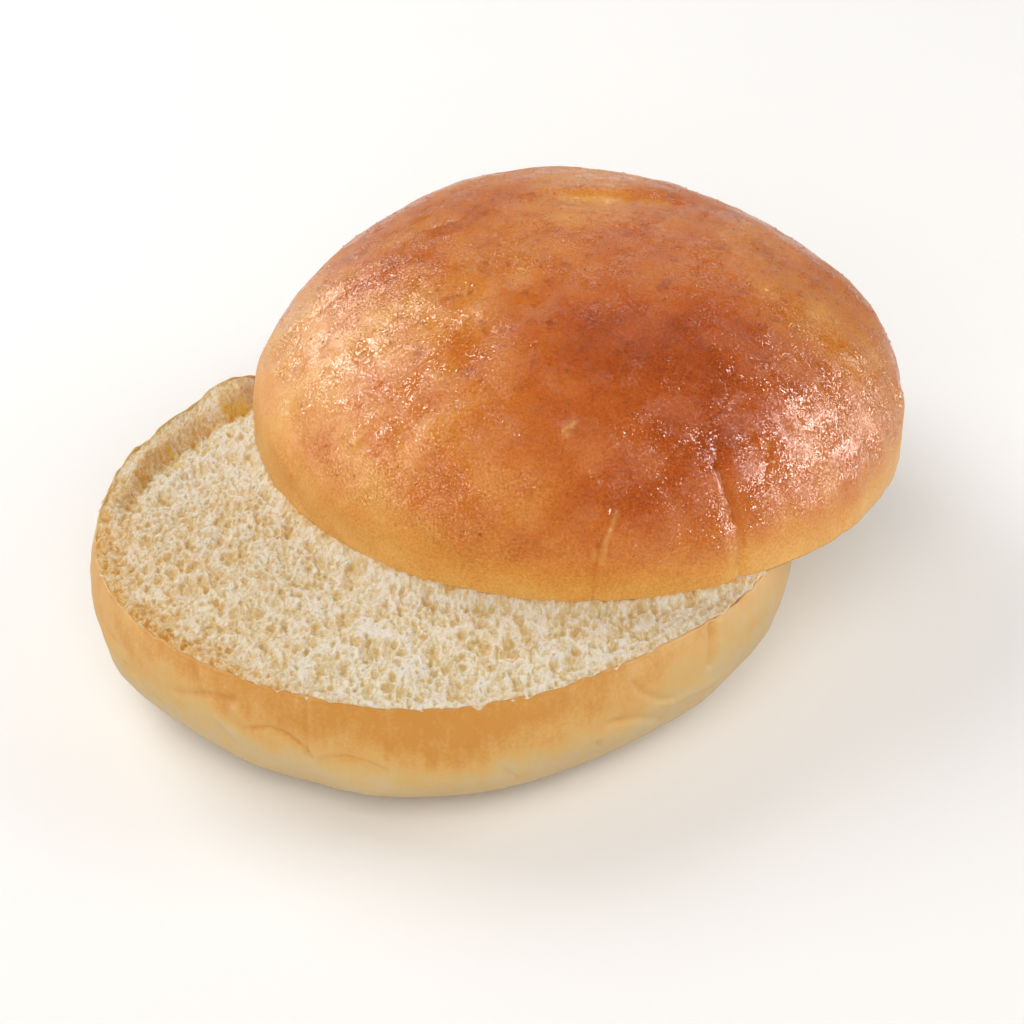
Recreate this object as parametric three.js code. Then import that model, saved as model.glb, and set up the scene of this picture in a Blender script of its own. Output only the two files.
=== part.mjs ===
// A round, soft white bread roll with a domed, egg-washed crust, sliced across its waist.
// The bottom half, the heel, lies with its cut face up. The top half, the crown, sits on that
// face, slid back and to the right, so that a crescent of crumb shows and the crown overhangs.
//
// Millimetres, +Z up. The origin is the centre of the heel's flat foot, +X is to the right of
// someone who faces the open crescent, and +Y points away from them.
import * as THREE from "three";

// Driving dimensions.
const ROLL_RADIUS = 55;
const CUT_HEIGHT = 26.6;
const CROWN_HEIGHT = 36.7;
const CROWN_SHIFT = new THREE.Vector2(23, 28);
const RESTING_GAP = 0.4;

// The heel: its flat foot, the height where its side is widest, and how far the side bulges there.
const FOOT_SHARE = 0.68;
const HEEL_WAIST = 19.8;
const HEEL_BULGE = 1.3;
const FOOT_CURVE = 2.4;

// The crown: its side is upright up to its waist and then follows an ellipse to the top.
const CROWN_SPREAD = 1.02;
const CROWN_WAIST = 5.9;

// Neither half is a true circle. Each lobe is [count round the roll, share of the radius, degrees].
const HEEL_LOBES = [
  [2, 0.067, 18],
  [4, 0.009, 2],
  [5, 0.009, -16],
];
const CROWN_LOBES = [
  [2, 0.014, -28],
  [3, 0.021, -22],
  [4, 0.009, 0],
];

// The torn lip of crust along the heel's back left: where it is and how far it reaches, in
// degrees round the heel, its section, and the shallow groove in the crumb along its foot.
const LIP_MIDDLE = 152;
const LIP_REACH = 38;
const LIP_HEIGHT = 1.7;
const LIP_CREST = 140;
const LIP_CREST_HEIGHT = 1.4;
const LIP_CREST_REACH = 5;
const LIP_WIDTH = 5.2;
const LIP_SETBACK = 1.2;
const LIP_CLEARANCE = 5;
const LIP_GROOVE = 0.9;
const LIP_GROOVE_PLACE = 1.5;
const LIP_FULL_SHARE = 0.45;
const LIP_OUTER_DROP = 0.25;

// The open crumb: large bubbles that the knife opened, each [x, y, radius, depth] on the cut
// face, and smaller ones that a seeded rule spreads over it.
const HEEL_BUBBLES = [
  [-9, -39, 3.0, 1.8],
  [-15, -42, 2.4, 1.5],
  [12, -36, 3.4, 1.7],
  [16, -34, 2.4, 1.4],
  [-12, -15, 2.2, 1.2],
  [-37, -8, 2.2, 1.2],
  [-44, 10, 1.9, 1.0],
  [-29, 3, 2.4, 1.2],
];
const SMALL_BUBBLES = 90;
const SMALL_BUBBLE_RADIUS = [1.6, 2.9];
const BUBBLE_DEPTH_SHARE = 0.45;
const BUBBLE_SWING = 0.5;
const BUBBLE_FALLOFF = 1.6;
const BUBBLE_REACH = 1.5;
const CRUMB_EDGE = 3;
const CRUMB_WAVE = 0.25;
const CRUMB_WAVE_LENGTH = 13;

// Folds and swellings in the crown's crust. Each runs between two directions seen from the
// centre of its cut face, [degrees round, degrees up], and is [from, to, half width, depth].
// A negative depth stands out.
const CROWN_FOLDS = [
  [[-63, 24], [-64, 12], 1.3, 0.8],
  [[-64, 12], [-62, -2], 1.6, 0.7],
  [[-87, 17], [-88, -2], 1.2, 0.5],
  [[92, 68], [41, 56], 2.6, 1.0],
  [[110, 60], [52, 50], 2.6, -0.6],
  [[-124, 42], [-111, 61], 2.8, 0.7],
  [[-150, 47], [-113, 54], 2.6, -0.6],
  [[-121, 25], [-114, 24], 3.0, -0.6],
  [[-134, 20], [-131, 27], 1.4, 0.5],
  [[-76, 22], [-60, 52], 6.0, 0.9],
  [[-45, 30], [-35, 38], 10, -0.9],
  [[4, 25], [14, 20], 9, -0.8],
  [[-13, 12], [-13, 13], 2.5, -0.7],
  [[-178, 6], [-158, 9], 11, -1.0],
  [[62, 46], [30, 42], 10, -0.9],
  [[-4, 18], [6, 22], 6, -0.5],
];

// The slow unevenness of the crust of each half.
const CROWN_WAVE = 0.35;
const CROWN_WAVE_LENGTH = 46;
const HEEL_WAVE = 0.5;
const HEEL_WAVE_LENGTH = 34;
const HEEL_WAVE_SPAN = 0.9;

// Each half is two discs of triangles that share the rim of the cut.
const RINGS = 20;
const FOOT_RINGS_SHARE = 0.4;
const HEEL_WALL_SHARE = 0.82;
const CROWN_DOME_SHARE = 0.92;
const FACE_CROWDING = 1.25;

// The crossed waves: how many, how much longer each is than the one before, and its turn.
const WAVES = 7;
const WAVE_STRETCH = 0.13;
const WAVE_TURN = 1.9;
const GOLDEN_ANGLE = Math.PI * (3 - Math.sqrt(5));
const radians = THREE.MathUtils.degToRad;
const smooth = THREE.MathUtils.smoothstep;

// How far the outline stands from the axis in one direction, as a share of the mean radius.
function lobed(lobes, angle) {
  return lobes.reduce(
    (sum, [count, share, turned]) => sum + share * Math.cos(count * (angle - radians(turned))),
    1,
  );
}

function heelRadius(angle) {
  return ROLL_RADIUS * lobed(HEEL_LOBES, angle);
}

function crownRadius(angle) {
  return ROLL_RADIUS * CROWN_SPREAD * lobed(CROWN_LOBES, angle);
}

// Crossed waves that run in evenly spread directions: a smooth unevenness, about -1 to 1.
function unevenness(point, length, phase) {
  let sum = 0;
  for (let i = 0; i < WAVES; i += 1) {
    const up = 1 - (2 * (i + 0.5)) / WAVES;
    const out = Math.sqrt(1 - up * up);
    const turn = GOLDEN_ANGLE * i;
    const along = point.x * out * Math.cos(turn) + point.y * out * Math.sin(turn) + point.z * up;
    const pitch = length * (1 + WAVE_STRETCH * i);
    sum += Math.sin((2 * Math.PI * along) / pitch + phase + WAVE_TURN * i);
  }
  return sum / Math.sqrt(WAVES);
}

// The same scattered value in 0 to 1 each time for the same whole number.
function scatter(number) {
  const value = Math.sin(number * 12.9898 + 4.1414) * 43758.5453;
  return value - Math.floor(value);
}

// Small bubbles on a sunflower spiral, each moved and sized by the scatter rule.
function smallBubbles(radius, start) {
  const [least, most] = SMALL_BUBBLE_RADIUS;
  return Array.from({ length: SMALL_BUBBLES }, (_, i) => {
    const out = radius * Math.sqrt((i + 0.5 + scatter(start + i)) / (SMALL_BUBBLES + 1));
    const turn = GOLDEN_ANGLE * i + BUBBLE_SWING * scatter(start + 500 + i);
    const size = least + (most - least) * scatter(start + 900 + i) ** 2;
    return [out * Math.cos(turn), out * Math.sin(turn), size, size * BUBBLE_DEPTH_SHARE];
  });
}

// How deep the opened bubbles and the soft waves of the crumb lie under the knife's plane.
function crumbDepth(x, y, edgeDistance, bubbles, phase) {
  const wave = 0.5 + 0.5 * unevenness(new THREE.Vector3(x, y, 0), CRUMB_WAVE_LENGTH, phase);
  let depth = CRUMB_WAVE * THREE.MathUtils.clamp(wave, 0, 1);
  for (const [bx, by, size, deep] of bubbles) {
    const share = Math.hypot(x - bx, y - by) / size;
    const bowl = deep * Math.exp(-BUBBLE_FALLOFF * share * share);
    if (share < BUBBLE_REACH) depth = Math.max(depth, bowl);
  }
  return depth * smooth(edgeDistance, 0, CRUMB_EDGE);
}

// The lip of crust: how high it stands at one place on the cut face. The crown presses it flat.
function lipHeight(x, y, edgeDistance) {
  const degrees = THREE.MathUtils.radToDeg(Math.atan2(y, x));
  const turned = THREE.MathUtils.euclideanModulo(degrees - LIP_MIDDLE + 180, 360) - 180;
  const crest = (turned + LIP_MIDDLE - LIP_CREST) / LIP_CREST_REACH;
  const along = 1 - smooth(Math.abs(turned), LIP_FULL_SHARE * LIP_REACH, LIP_REACH);
  const top = LIP_HEIGHT * along + LIP_CREST_HEIGHT * Math.exp(-crest * crest);
  const inward = (edgeDistance - LIP_SETBACK) / (LIP_WIDTH - LIP_SETBACK);
  const across = inward < 0 ? 1 - LIP_OUTER_DROP * inward ** 2 : 1 - smooth(inward, 0, 1);
  const groove = Math.exp(-((edgeDistance / LIP_WIDTH - LIP_GROOVE_PLACE) ** 2));
  const dx = x - CROWN_SHIFT.x;
  const dy = y - CROWN_SHIFT.y;
  const outside = Math.hypot(dx, dy) - crownRadius(Math.atan2(dy, dx));
  const free = smooth(outside, 0, LIP_CLEARANCE);
  return top * across * free - LIP_GROOVE * along * groove * smooth(edgeDistance, 0, LIP_WIDTH);
}

// The heel's crust, from the middle of the foot (0) to the rim of the cut (1).
function heelCrust(share, angle) {
  const rim = heelRadius(angle);
  if (share <= FOOT_RINGS_SHARE) {
    const foot = (rim * FOOT_SHARE * share) / FOOT_RINGS_SHARE;
    return new THREE.Vector3(foot * Math.cos(angle), foot * Math.sin(angle), 0);
  }
  const bend = Math.min(1, (share - FOOT_RINGS_SHARE) / (HEEL_WALL_SHARE - FOOT_RINGS_SHARE));
  const above = Math.max(0, (share - HEEL_WALL_SHARE) / (1 - HEEL_WALL_SHARE));
  const turn = (bend * Math.PI) / 2;
  const out = FOOT_SHARE + (1 - FOOT_SHARE) * Math.sin(turn);
  const radius = rim * out + HEEL_BULGE * out * (1 - above * above);
  const x = radius * Math.cos(angle);
  const y = radius * Math.sin(angle);
  const rimHeight = CUT_HEIGHT + lipHeight(rim * Math.cos(angle), rim * Math.sin(angle), 0);
  const curved = HEEL_WAIST * (1 - Math.cos(turn) ** (2 / FOOT_CURVE));
  const z = above > 0 ? THREE.MathUtils.lerp(HEEL_WAIST, rimHeight, above) : curved;
  const point = new THREE.Vector3(x, y, z);
  const span = Math.sin(Math.PI * bend * HEEL_WAVE_SPAN) ** 2;
  const fold = unevenness(point, HEEL_WAVE_LENGTH, 2) * span;
  const push = 1 + (HEEL_WAVE * fold * (1 - above)) / rim;
  return new THREE.Vector3(x * push, y * push, z);
}

// The heel's cut face, from its middle (0) to the rim (1).
const heelBubbles = [...HEEL_BUBBLES, ...smallBubbles(ROLL_RADIUS, 10)];
function heelFace(share, angle) {
  const rim = heelRadius(angle);
  const radius = rim * (1 - (1 - share) ** FACE_CROWDING);
  const x = radius * Math.cos(angle);
  const y = radius * Math.sin(angle);
  const crumb = crumbDepth(x, y, rim - radius, heelBubbles, 0);
  return new THREE.Vector3(x, y, CUT_HEIGHT + lipHeight(x, y, rim - radius) - crumb);
}

// A direction from the centre of the crown's cut face.
function direction([round, up]) {
  return new THREE.Vector3().setFromSphericalCoords(1, radians(90 - up), radians(round + 90));
}

// setFromSphericalCoords has Y up: this turns it so that Z is up and 0 degrees is along +X.
const toZUp = new THREE.Matrix4().makeRotationX(Math.PI / 2);
const crownFolds = CROWN_FOLDS.map(([from, to, halfWidth, depth]) => ({
  line: new THREE.Line3(direction(from).applyMatrix4(toZUp), direction(to).applyMatrix4(toZUp)),
  halfWidth,
  depth,
}));

// How far the crust is pushed in (or, where negative, out) by the folds near one point.
function foldDepth(point) {
  const seen = point.clone().normalize();
  const nearest = new THREE.Vector3();
  return crownFolds.reduce((sum, { line, halfWidth, depth }) => {
    line.closestPointToPoint(seen, true, nearest).normalize();
    const away = seen.angleTo(nearest) * point.length();
    return sum + depth * Math.exp(-((away / halfWidth) ** 2));
  }, 0);
}

// The crown's crust, from the top of the dome (0) to the rim of the cut (1).
function crownCrust(share, angle) {
  const rim = crownRadius(angle);
  const rise = CROWN_HEIGHT - CROWN_WAIST;
  const turn = (Math.PI / 2) * Math.min(1, share / CROWN_DOME_SHARE);
  const below = Math.max(0, (share - CROWN_DOME_SHARE) / (1 - CROWN_DOME_SHARE));
  const radius = rim * Math.sin(turn);
  const z = below > 0 ? CROWN_WAIST * (1 - below) : CROWN_WAIST + rise * Math.cos(turn);
  const point = new THREE.Vector3(radius * Math.cos(angle), radius * Math.sin(angle), z);
  const outward = new THREE.Vector3(
    (Math.sin(turn) * Math.cos(angle)) / rim,
    (Math.sin(turn) * Math.sin(angle)) / rim,
    Math.cos(turn) / rise,
  ).normalize();
  const wave = CROWN_WAVE * unevenness(point, CROWN_WAVE_LENGTH, 0) * (1 - below);
  const moved = point.clone().addScaledVector(outward, wave - foldDepth(point));
  return moved.setZ(Math.max(moved.z, 0));
}

// The crown's cut face, from its middle (0) to the rim (1).
const crownBubbles = smallBubbles(ROLL_RADIUS, 2000);
function crownFace(share, angle) {
  const rimPoint = crownCrust(1, angle);
  const rim = Math.hypot(rimPoint.x, rimPoint.y);
  const radius = rim * (1 - (1 - share) ** FACE_CROWDING);
  const x = radius * Math.cos(angle);
  const y = radius * Math.sin(angle);
  return new THREE.Vector3(x, y, crumbDepth(x, y, rim - radius, crownBubbles, 4));
}

// A disc of rings round one middle point: ring k has six points for each step from the middle,
// so its triangles are all about one size. pointAt(share, angle) places each point.
function disc(pointAt) {
  const points = [pointAt(0, 0)];
  const start = [0];
  const triangles = [];
  for (let k = 1; k <= RINGS; k += 1) {
    start.push(points.length);
    for (let j = 0; j < 6 * k; j += 1) {
      points.push(pointAt(k / RINGS, (Math.PI * j) / (3 * k)));
    }
    const outer = (j) => start[k] + (j % (6 * k));
    const inner = (j) => (k === 1 ? 0 : start[k - 1] + (j % (6 * (k - 1))));
    for (let side = 0; side < 6; side += 1) {
      for (let j = 0; j < k; j += 1) {
        const a = side * k + j;
        const b = side * (k - 1) + j;
        triangles.push([inner(b), outer(a), outer(a + 1)]);
        if (j < k - 1) triangles.push([inner(b), outer(a + 1), inner(b + 1)]);
      }
    }
  }
  return { points, triangles, rimStart: start[RINGS] };
}

// One closed surface from two discs that meet at the rim. The upper disc faces up.
function closedHalf(upperAt, lowerAt, rimFromUpper) {
  const upper = disc(upperAt);
  const lower = disc(lowerAt);
  const points = [...upper.points, ...lower.points.slice(0, lower.rimStart)];
  const shift = upper.points.length;
  const rimShift = upper.rimStart - lower.rimStart;
  const lowerIndex = (i) => (i >= lower.rimStart ? i + rimShift : i + shift);
  if (!rimFromUpper) {
    lower.points.slice(lower.rimStart).forEach((p, i) => points[upper.rimStart + i].copy(p));
  }
  const faces = [
    ...upper.triangles,
    ...lower.triangles.map(([a, b, c]) => [lowerIndex(a), lowerIndex(c), lowerIndex(b)]),
  ];
  const geometry = new THREE.BufferGeometry().setFromPoints(points);
  geometry.setIndex(faces.flat());
  geometry.computeVertexNormals();
  return geometry;
}

// Pale golden crust that was against its neighbours and the tray, soft and matt.
const paleCrust = new THREE.MeshStandardMaterial({
  color: 0xdcae66,
  roughness: 0.75,
  metalness: 0,
});

// Deep golden-brown crust with the shine of an egg wash.
const glazedCrust = new THREE.MeshStandardMaterial({
  color: 0xc4702f,
  roughness: 0.35,
  metalness: 0,
});

function makeHeel() {
  const heel = new THREE.Mesh(closedHalf(heelFace, heelCrust, false), paleCrust);
  heel.name = "heel";
  return heel;
}

function makeCrown() {
  const crown = new THREE.Mesh(closedHalf(crownCrust, crownFace, true), glazedCrust);
  crown.name = "crown";
  crown.position.set(CROWN_SHIFT.x, CROWN_SHIFT.y, CUT_HEIGHT + RESTING_GAP);
  return crown;
}

const roll = new THREE.Group();
roll.add(makeHeel(), makeCrown());

export default roll;
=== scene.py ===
import bpy
import numpy as np
from bpy.props import FloatProperty, FloatVectorProperty, IntProperty, PointerProperty
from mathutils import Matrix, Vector


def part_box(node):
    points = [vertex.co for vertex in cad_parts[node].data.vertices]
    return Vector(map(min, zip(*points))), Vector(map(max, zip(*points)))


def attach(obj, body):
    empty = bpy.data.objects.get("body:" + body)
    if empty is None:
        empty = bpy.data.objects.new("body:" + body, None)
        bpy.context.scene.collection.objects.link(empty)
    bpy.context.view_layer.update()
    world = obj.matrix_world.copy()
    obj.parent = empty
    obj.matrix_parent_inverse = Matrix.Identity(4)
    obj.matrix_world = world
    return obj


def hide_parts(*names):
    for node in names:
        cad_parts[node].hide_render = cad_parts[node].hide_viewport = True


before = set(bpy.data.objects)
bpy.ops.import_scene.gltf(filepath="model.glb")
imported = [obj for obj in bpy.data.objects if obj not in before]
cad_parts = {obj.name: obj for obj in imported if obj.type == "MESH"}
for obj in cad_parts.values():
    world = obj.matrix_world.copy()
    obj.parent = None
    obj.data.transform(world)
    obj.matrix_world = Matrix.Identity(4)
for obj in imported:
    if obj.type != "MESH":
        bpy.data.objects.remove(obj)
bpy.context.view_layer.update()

bl_info = {
    "name": "Sliced bread roll",
    "version": (1, 0, 0),
    "blender": (4, 5, 0),
    "location": "3D View > Sidebar > Bread roll",
    "description": "Builds a soft bread roll, sliced across its waist, with its top half slid back",
    "category": "Add Mesh",
}

# All sizes of the roll are in mm, as in its solid model, and angles are in degrees. 0 degrees
# round is along +X and -90 faces the camera. Blender's own lengths are metres.
MM = 0.001

# The sliced roll: its mean radius, the gap between the halves, and where the top half lies.
ROLL_RADIUS = 55.0
RESTING_GAP = 0.4
CROWN_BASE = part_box("crown")[0][2] / MM
CUT_HEIGHT = CROWN_BASE - RESTING_GAP
CROWN_PLACE = np.array((23.0, 28.0, CROWN_BASE))

# The bottom half's section.
FOOT_SHARE = 0.68
HEEL_WAIST = 19.8
HEEL_BULGE = 1.3
FOOT_CURVE = 2.4

# The top half's section.
CROWN_HEIGHT = 36.7
CROWN_SPREAD = 1.02
CROWN_WAIST = 5.9
CROWN_RISE = CROWN_HEIGHT - CROWN_WAIST

# Each lobe is (count round the roll, share of the radius, degrees).
HEEL_LOBES = ((2, 0.067, 18), (4, 0.009, 2), (5, 0.009, -16))
CROWN_LOBES = ((2, 0.014, -28), (3, 0.021, -22), (4, 0.009, 0))

# The torn lip of crust at the back left of the bottom half.
LIP_MIDDLE = 152
LIP_REACH = 38
LIP_HEIGHT = 1.7
LIP_CREST = 140
LIP_CREST_HEIGHT = 1.4
LIP_CREST_REACH = 5
LIP_CLEARANCE = 5.0
LIP_FULL_SHARE = 0.45
# Its torn top and the foot of its inner slope, as distances from the outline, how much nearer
# the foot comes over a stretch of degrees, and the groove along it.
LIP_TOP = 2.2
LIP_FOOT = 6.0
LIP_FOOT_NEARER = 1.7
LIP_FOOT_TURN = (145, 168)
LIP_GROOVE = 0.6
LIP_GROOVE_REACH = 1.4
# Steps in its torn edge, each (degrees round, reach in degrees, height).
LIP_STEPS = ((143.5, 3.0, 0.5), (155.0, 3.5, 0.35), (166.5, 2.6, 0.6), (173.0, 2.5, 0.3))
# Where the slope is yellow, each (x, y, reach).
LIP_YELLOW_SPOTS = ((-37.2, 29.8, 1.5), (-39.8, 28.4, 1.2), (-48.6, 16.6, 0.7), (-47.8, 13.6, 0.8))

# The crust's cut edge, the hidden beds under the crumb and over it, and the crumb's open face.
CRUST_EDGE = 0.3
CRUST_BED = 5.8
CRUMB_BED = 5.2
CRUMB_REACH = 38.0
CRUMB_UNDER_CROWN = 0.4
CROWN_ROOF = 2.6
CROWN_CRUMB_INSET = 1.9
CROWN_CRUMB_TOP = 3.4
# Steps over the cut edge and down inside it: (share of the edge inwards, share of the bed's depth).
CUT_EDGE_STEPS = ((0.5, 0.0), (1.0, 0.0), (1.1, 0.1), (1.2, 0.4), (1.3, 1.0))
# Steps from the hidden roof out to the top half's rim: (distance inwards, height).
CROWN_RIM_STEPS = ((2.6, 2.2), (2.3, 0.9), (1.7, 0.3), (0.7, 0.05))

# Large bubbles that the knife opened, each (x, y, radius, depth).
HEEL_BUBBLES = (
    (-9, -39, 3.0, 1.2), (-15, -42, 2.4, 1.0), (12, -36, 3.4, 1.3), (16, -34, 2.6, 1.0),
    (-12, -15, 2.2, 0.9), (-37, -8, 2.2, 0.8), (-44, 10, 1.9, 0.7), (-29, 3, 2.4, 0.7),
    (20, -42, 2.2, 0.8), (-24, -33, 2.0, 0.8), (3, -44, 2.2, 0.7),
)
BUBBLE_FALLOFF = 1.6

# Folds and swellings of the top half's crust. Each runs between two directions seen from the
# centre of its cut face, (degrees round, degrees up), and is (from, to, half width, depth).
# A negative depth stands out. These are the ones of the solid model, with the broad hollow in
# front made softer.
CROWN_FOLDS = (
    ((-63, 24), (-64, 12), 1.3, 0.8),
    ((-64, 12), (-62, -2), 1.6, 0.7),
    ((-87, 17), (-88, -2), 1.2, 0.5),
    ((92, 68), (41, 56), 2.6, 1.0),
    ((110, 60), (52, 50), 2.6, -0.6),
    ((-124, 42), (-111, 61), 2.8, 0.7),
    ((-150, 47), (-113, 54), 2.6, -0.6),
    ((-121, 25), (-114, 24), 3.0, -0.6),
    ((-134, 20), (-131, 27), 1.4, 0.5),
    ((-76, 22), (-60, 52), 6.0, 0.45),
    ((-45, 30), (-35, 38), 10.0, -0.9),
    ((4, 25), (14, 20), 9.0, -0.8),
    ((-13, 12), (-13, 13), 2.5, -0.7),
    ((-178, 6), (-158, 9), 11.0, -1.0),
    ((62, 46), (30, 42), 10.0, -0.9),
    ((-4, 18), (6, 22), 6.0, -0.5),
)

# Finer creases, pocks and wrinkles of the same crust.
CROWN_CREASES = (
    ((-66, 27), (-64, 22), 0.5, 0.35),
    ((-64, 22), (-62.6, 12), 0.55, 0.75),
    ((-62.6, 12), (-61.8, 0), 0.6, 0.55),
    ((-64.6, 20), (-63.6, 5), 1.3, -0.35),
    ((-52.8, 21.9), (-52.6, 22.0), 0.75, 0.9),
    ((-52.8, 21.9), (-52.6, 22.0), 1.5, -0.45),
    ((-53.8, 20), (-55.8, 17), 0.6, 0.18),
    ((-81, 20.5), (-84.7, 17.4), 0.6, 0.3),
    ((-84.7, 17.4), (-87.2, 11), 0.55, 0.5),
    ((-87.2, 11), (-87.8, -1), 0.45, 0.45),
    ((-85.8, 10), (-86.4, 0), 0.7, -0.25),
    ((-94.2, 31), (-91.6, 32.4), 0.45, -0.35),
    ((-93.8, 29.6), (-92.9, 30.0), 0.4, -0.3),
    ((-91.8, 31.0), (-90.5, 30.2), 0.6, 0.3),
    ((93, 64.5), (62, 61.5), 0.9, 0.22),
    ((62, 61.5), (41, 52), 0.8, 0.3),
    ((-123, 48.9), (-122.8, 49), 0.8, 0.6),
    ((-136.7, 18.8), (-134.5, 21.5), 0.8, -0.2),
    ((-131.8, 20.2), (-130.5, 23), 0.8, -0.22),
    ((-134.4, 18), (-133.2, 21), 0.8, 0.18),
    ((-126.3, 21), (-125, 24), 0.9, 0.18),
    ((-115.5, 23.8), (-113.6, 25.5), 0.8, -0.2),
    ((-117, 27.5), (-113, 27), 1.0, 0.35),
    ((161.9, 47.9), (144.8, 62), 0.8, 0.25),
    ((-2.4, 73.8), (21.8, 74.6), 0.8, 0.2),
    ((-67.5, 76.3), (-40, 77), 0.7, 0.3),
    ((-24, 58), (-12, 56), 0.7, 0.25),
    ((22, 56), (30, 51), 0.8, 0.25),
    ((-20.3, 44.5), (-17, 43), 0.7, 0.3),
    ((-106, 12), (-107, 4), 1.2, 0.15),
    ((-148, 10), (-147, 2), 1.4, 0.2),
    ((-40, 9), (-41, 0), 1.3, 0.2),
    ((-118, 12), (-119, 1), 1.2, 0.15),
    ((20, 12), (21, 0), 1.5, 0.3),
    ((75, 16), (76, 0), 1.2, 0.35),
    ((118, 22), (121, 2), 1.4, 0.35),
)
CREASES_FADE = (0.2, 2.5)

# Where the crust broke open and shows a paler, yellower inside: (from, to, half width, amount).
CROWN_PALE_MARKS = (
    ((-94.4, 30.8), (-91.8, 32.2), 0.26, 0.8),
    ((-93.6, 29.7), (-93.4, 30.1), 0.24, 0.6),
    ((-84.3, 17), (-86.0, 12.5), 0.35, 0.35),
    ((-86.4, 12), (-86.8, 8), 0.35, 0.5),
    ((-88.0, 10.5), (-88.0, 9), 0.5, 0.3),
    ((-87.0, 8), (-87.2, -1), 0.4, 0.2),
    ((-52.8, 21.9), (-52.6, 22.0), 0.4, 0.7),
    ((99, 65.5), (88, 64.2), 0.9, 0.45),
    ((84, 64.8), (74, 63.4), 0.7, 0.5),
    ((70, 63.2), (60, 60.8), 0.6, 0.3),
    ((56, 59.2), (46, 54.6), 0.5, 0.35),
    ((-64.4, 7), (-63.4, 0), 0.6, 0.2),
)

# How dark the crown is baked: (degrees round, degrees up, reach in mm, amount).
CROWN_BAKE_BASE = 0.50
CROWN_BAKES = (
    (-66, 40, 24, 0.20), (-60, 56, 18, 0.10), (-95, 46, 16, 0.10), (-66, 22, 14, 0.10),
    (-48, 40, 12, 0.06), (-125, 28, 20, -0.07), (-160, 30, 20, -0.08), (-168, 12, 20, -0.34),
    (-130, 8, 14, -0.12), (-12, 18, 18, -0.10), (-100, 20, 14, -0.04), (140, 30, 26, 0.03),
    (90, 58, 26, -0.16), (-150, 52, 18, -0.07), (60, 20, 20, -0.05),
)
# The heights over which the pale band at its rim fades, and those where dark streaks begin.
CROWN_PALE_BAND = (-5, 16.0)
CROWN_STREAKS = (23, 32)
# The egg wash: where it ends above the rim, and over how many mm.
CROWN_GLAZE_EDGE = 6.5
CROWN_GLAZE_BLEND = 3.5
# Where it ends higher up: degrees round, how much higher in mm, and the reach in degrees.
BARE_SIDE = -170
BARE_MORE = 6.0
BARE_REACH = 38

# Creases low on the bottom half's side: (path of (degrees round, height), half width, depth).
HEEL_CREASES = (
    (((-137, 18.6), (-130.7, 21.4), (-125.1, 22.6)), 0.8, 0.45),
    (((-122.1, 17.9), (-118.7, 19.3), (-115.5, 18.8), (-113.1, 17.1), (-111.9, 15.5)), 0.7, 0.6),
    (((-112.2, 26.6), (-111.8, 21), (-112.2, 15.4)), 0.4, 0.35),
    (((-109.8, 14.9), (-108.6, 16.0), (-105.5, 16.8), (-101.8, 16.5), (-98.5, 15.0)), 0.5, 0.4),
    (((-133, 25), (-132.4, 23.4)), 0.8, 0.35),
    (((-124.3, 21.2), (-122.4, 18.6)), 1.4, -0.4),
    (((-127.5, 17.5), (-126, 15.5)), 1.4, -0.4),
    (((-35.7, 25.8), (-36.7, 18.5)), 0.7, 0.5),
    (((-54, 23.1), (-52.5, 20.6), (-48, 16.8), (-44.5, 15.3)), 0.7, 0.3),
    (((-58.8, 16.7), (-53.3, 15.2), (-46.5, 11.2)), 0.9, 0.4),
    (((-45, 15), (-38.2, 14.2), (-31.4, 13.2)), 1.0, -0.25),
    (((-78.6, 13.1), (-76.6, 10.5)), 0.5, 0.3),
    (((-61, 13.4), (-60.4, 12.2)), 0.5, 0.5),
    (((-92, 24), (-91, 15)), 1.3, 0.2),
    (((-84, 25), (-84.6, 17)), 1.2, 0.2),
    (((-150, 16), (-144, 13), (-139, 13.5)), 0.9, 0.5),
    (((-166, 21), (-158, 18.5), (-151, 19)), 0.9, 0.35),
    (((-100, 8), (-92, 6.5), (-86, 7.5)), 1.0, 0.35),
    (((25, 22), (31, 18), (39, 17)), 0.9, 0.45),
    (((70, 15), (80, 17.5), (88, 16)), 0.9, 0.5),
    (((112, 23), (113, 15), (117, 11)), 0.8, 0.45),
    (((150, 14), (160, 16.5), (168, 15)), 0.9, 0.5),
)
HEEL_CREASE_SHARE = 1.25
# How golden a crease's bottom is for its depth, and how much narrower that is than the crease.
CREASE_GOLD = 0.45
CREASE_GOLD_NARROWER = 1.6
# The golden band's lower edge: (degrees round, height).
GOLD_EDGE = (
    (-180, 16.5), (-136, 17.5), (-124, 17.0), (-112, 17.8), (-104, 17.8), (-96, 16.8), (-83, 15.8),
    (-69, 16.2), (-53, 17.9), (-39, 18.8), (0, 19.5), (60, 17.0), (120, 15.0), (180, 16.5),
)
GOLD_FADE = 7.0
# How golden the band is: (degrees round, amount).
GOLD_AMOUNTS = (
    (-180, 0.50), (-150, 0.62), (-125, 0.78), (-95, 0.95), (-70, 0.85), (-45, 0.55), (-15, 0.30),
    (60, 0.70), (120, 0.80), (180, 0.50),
)

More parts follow.
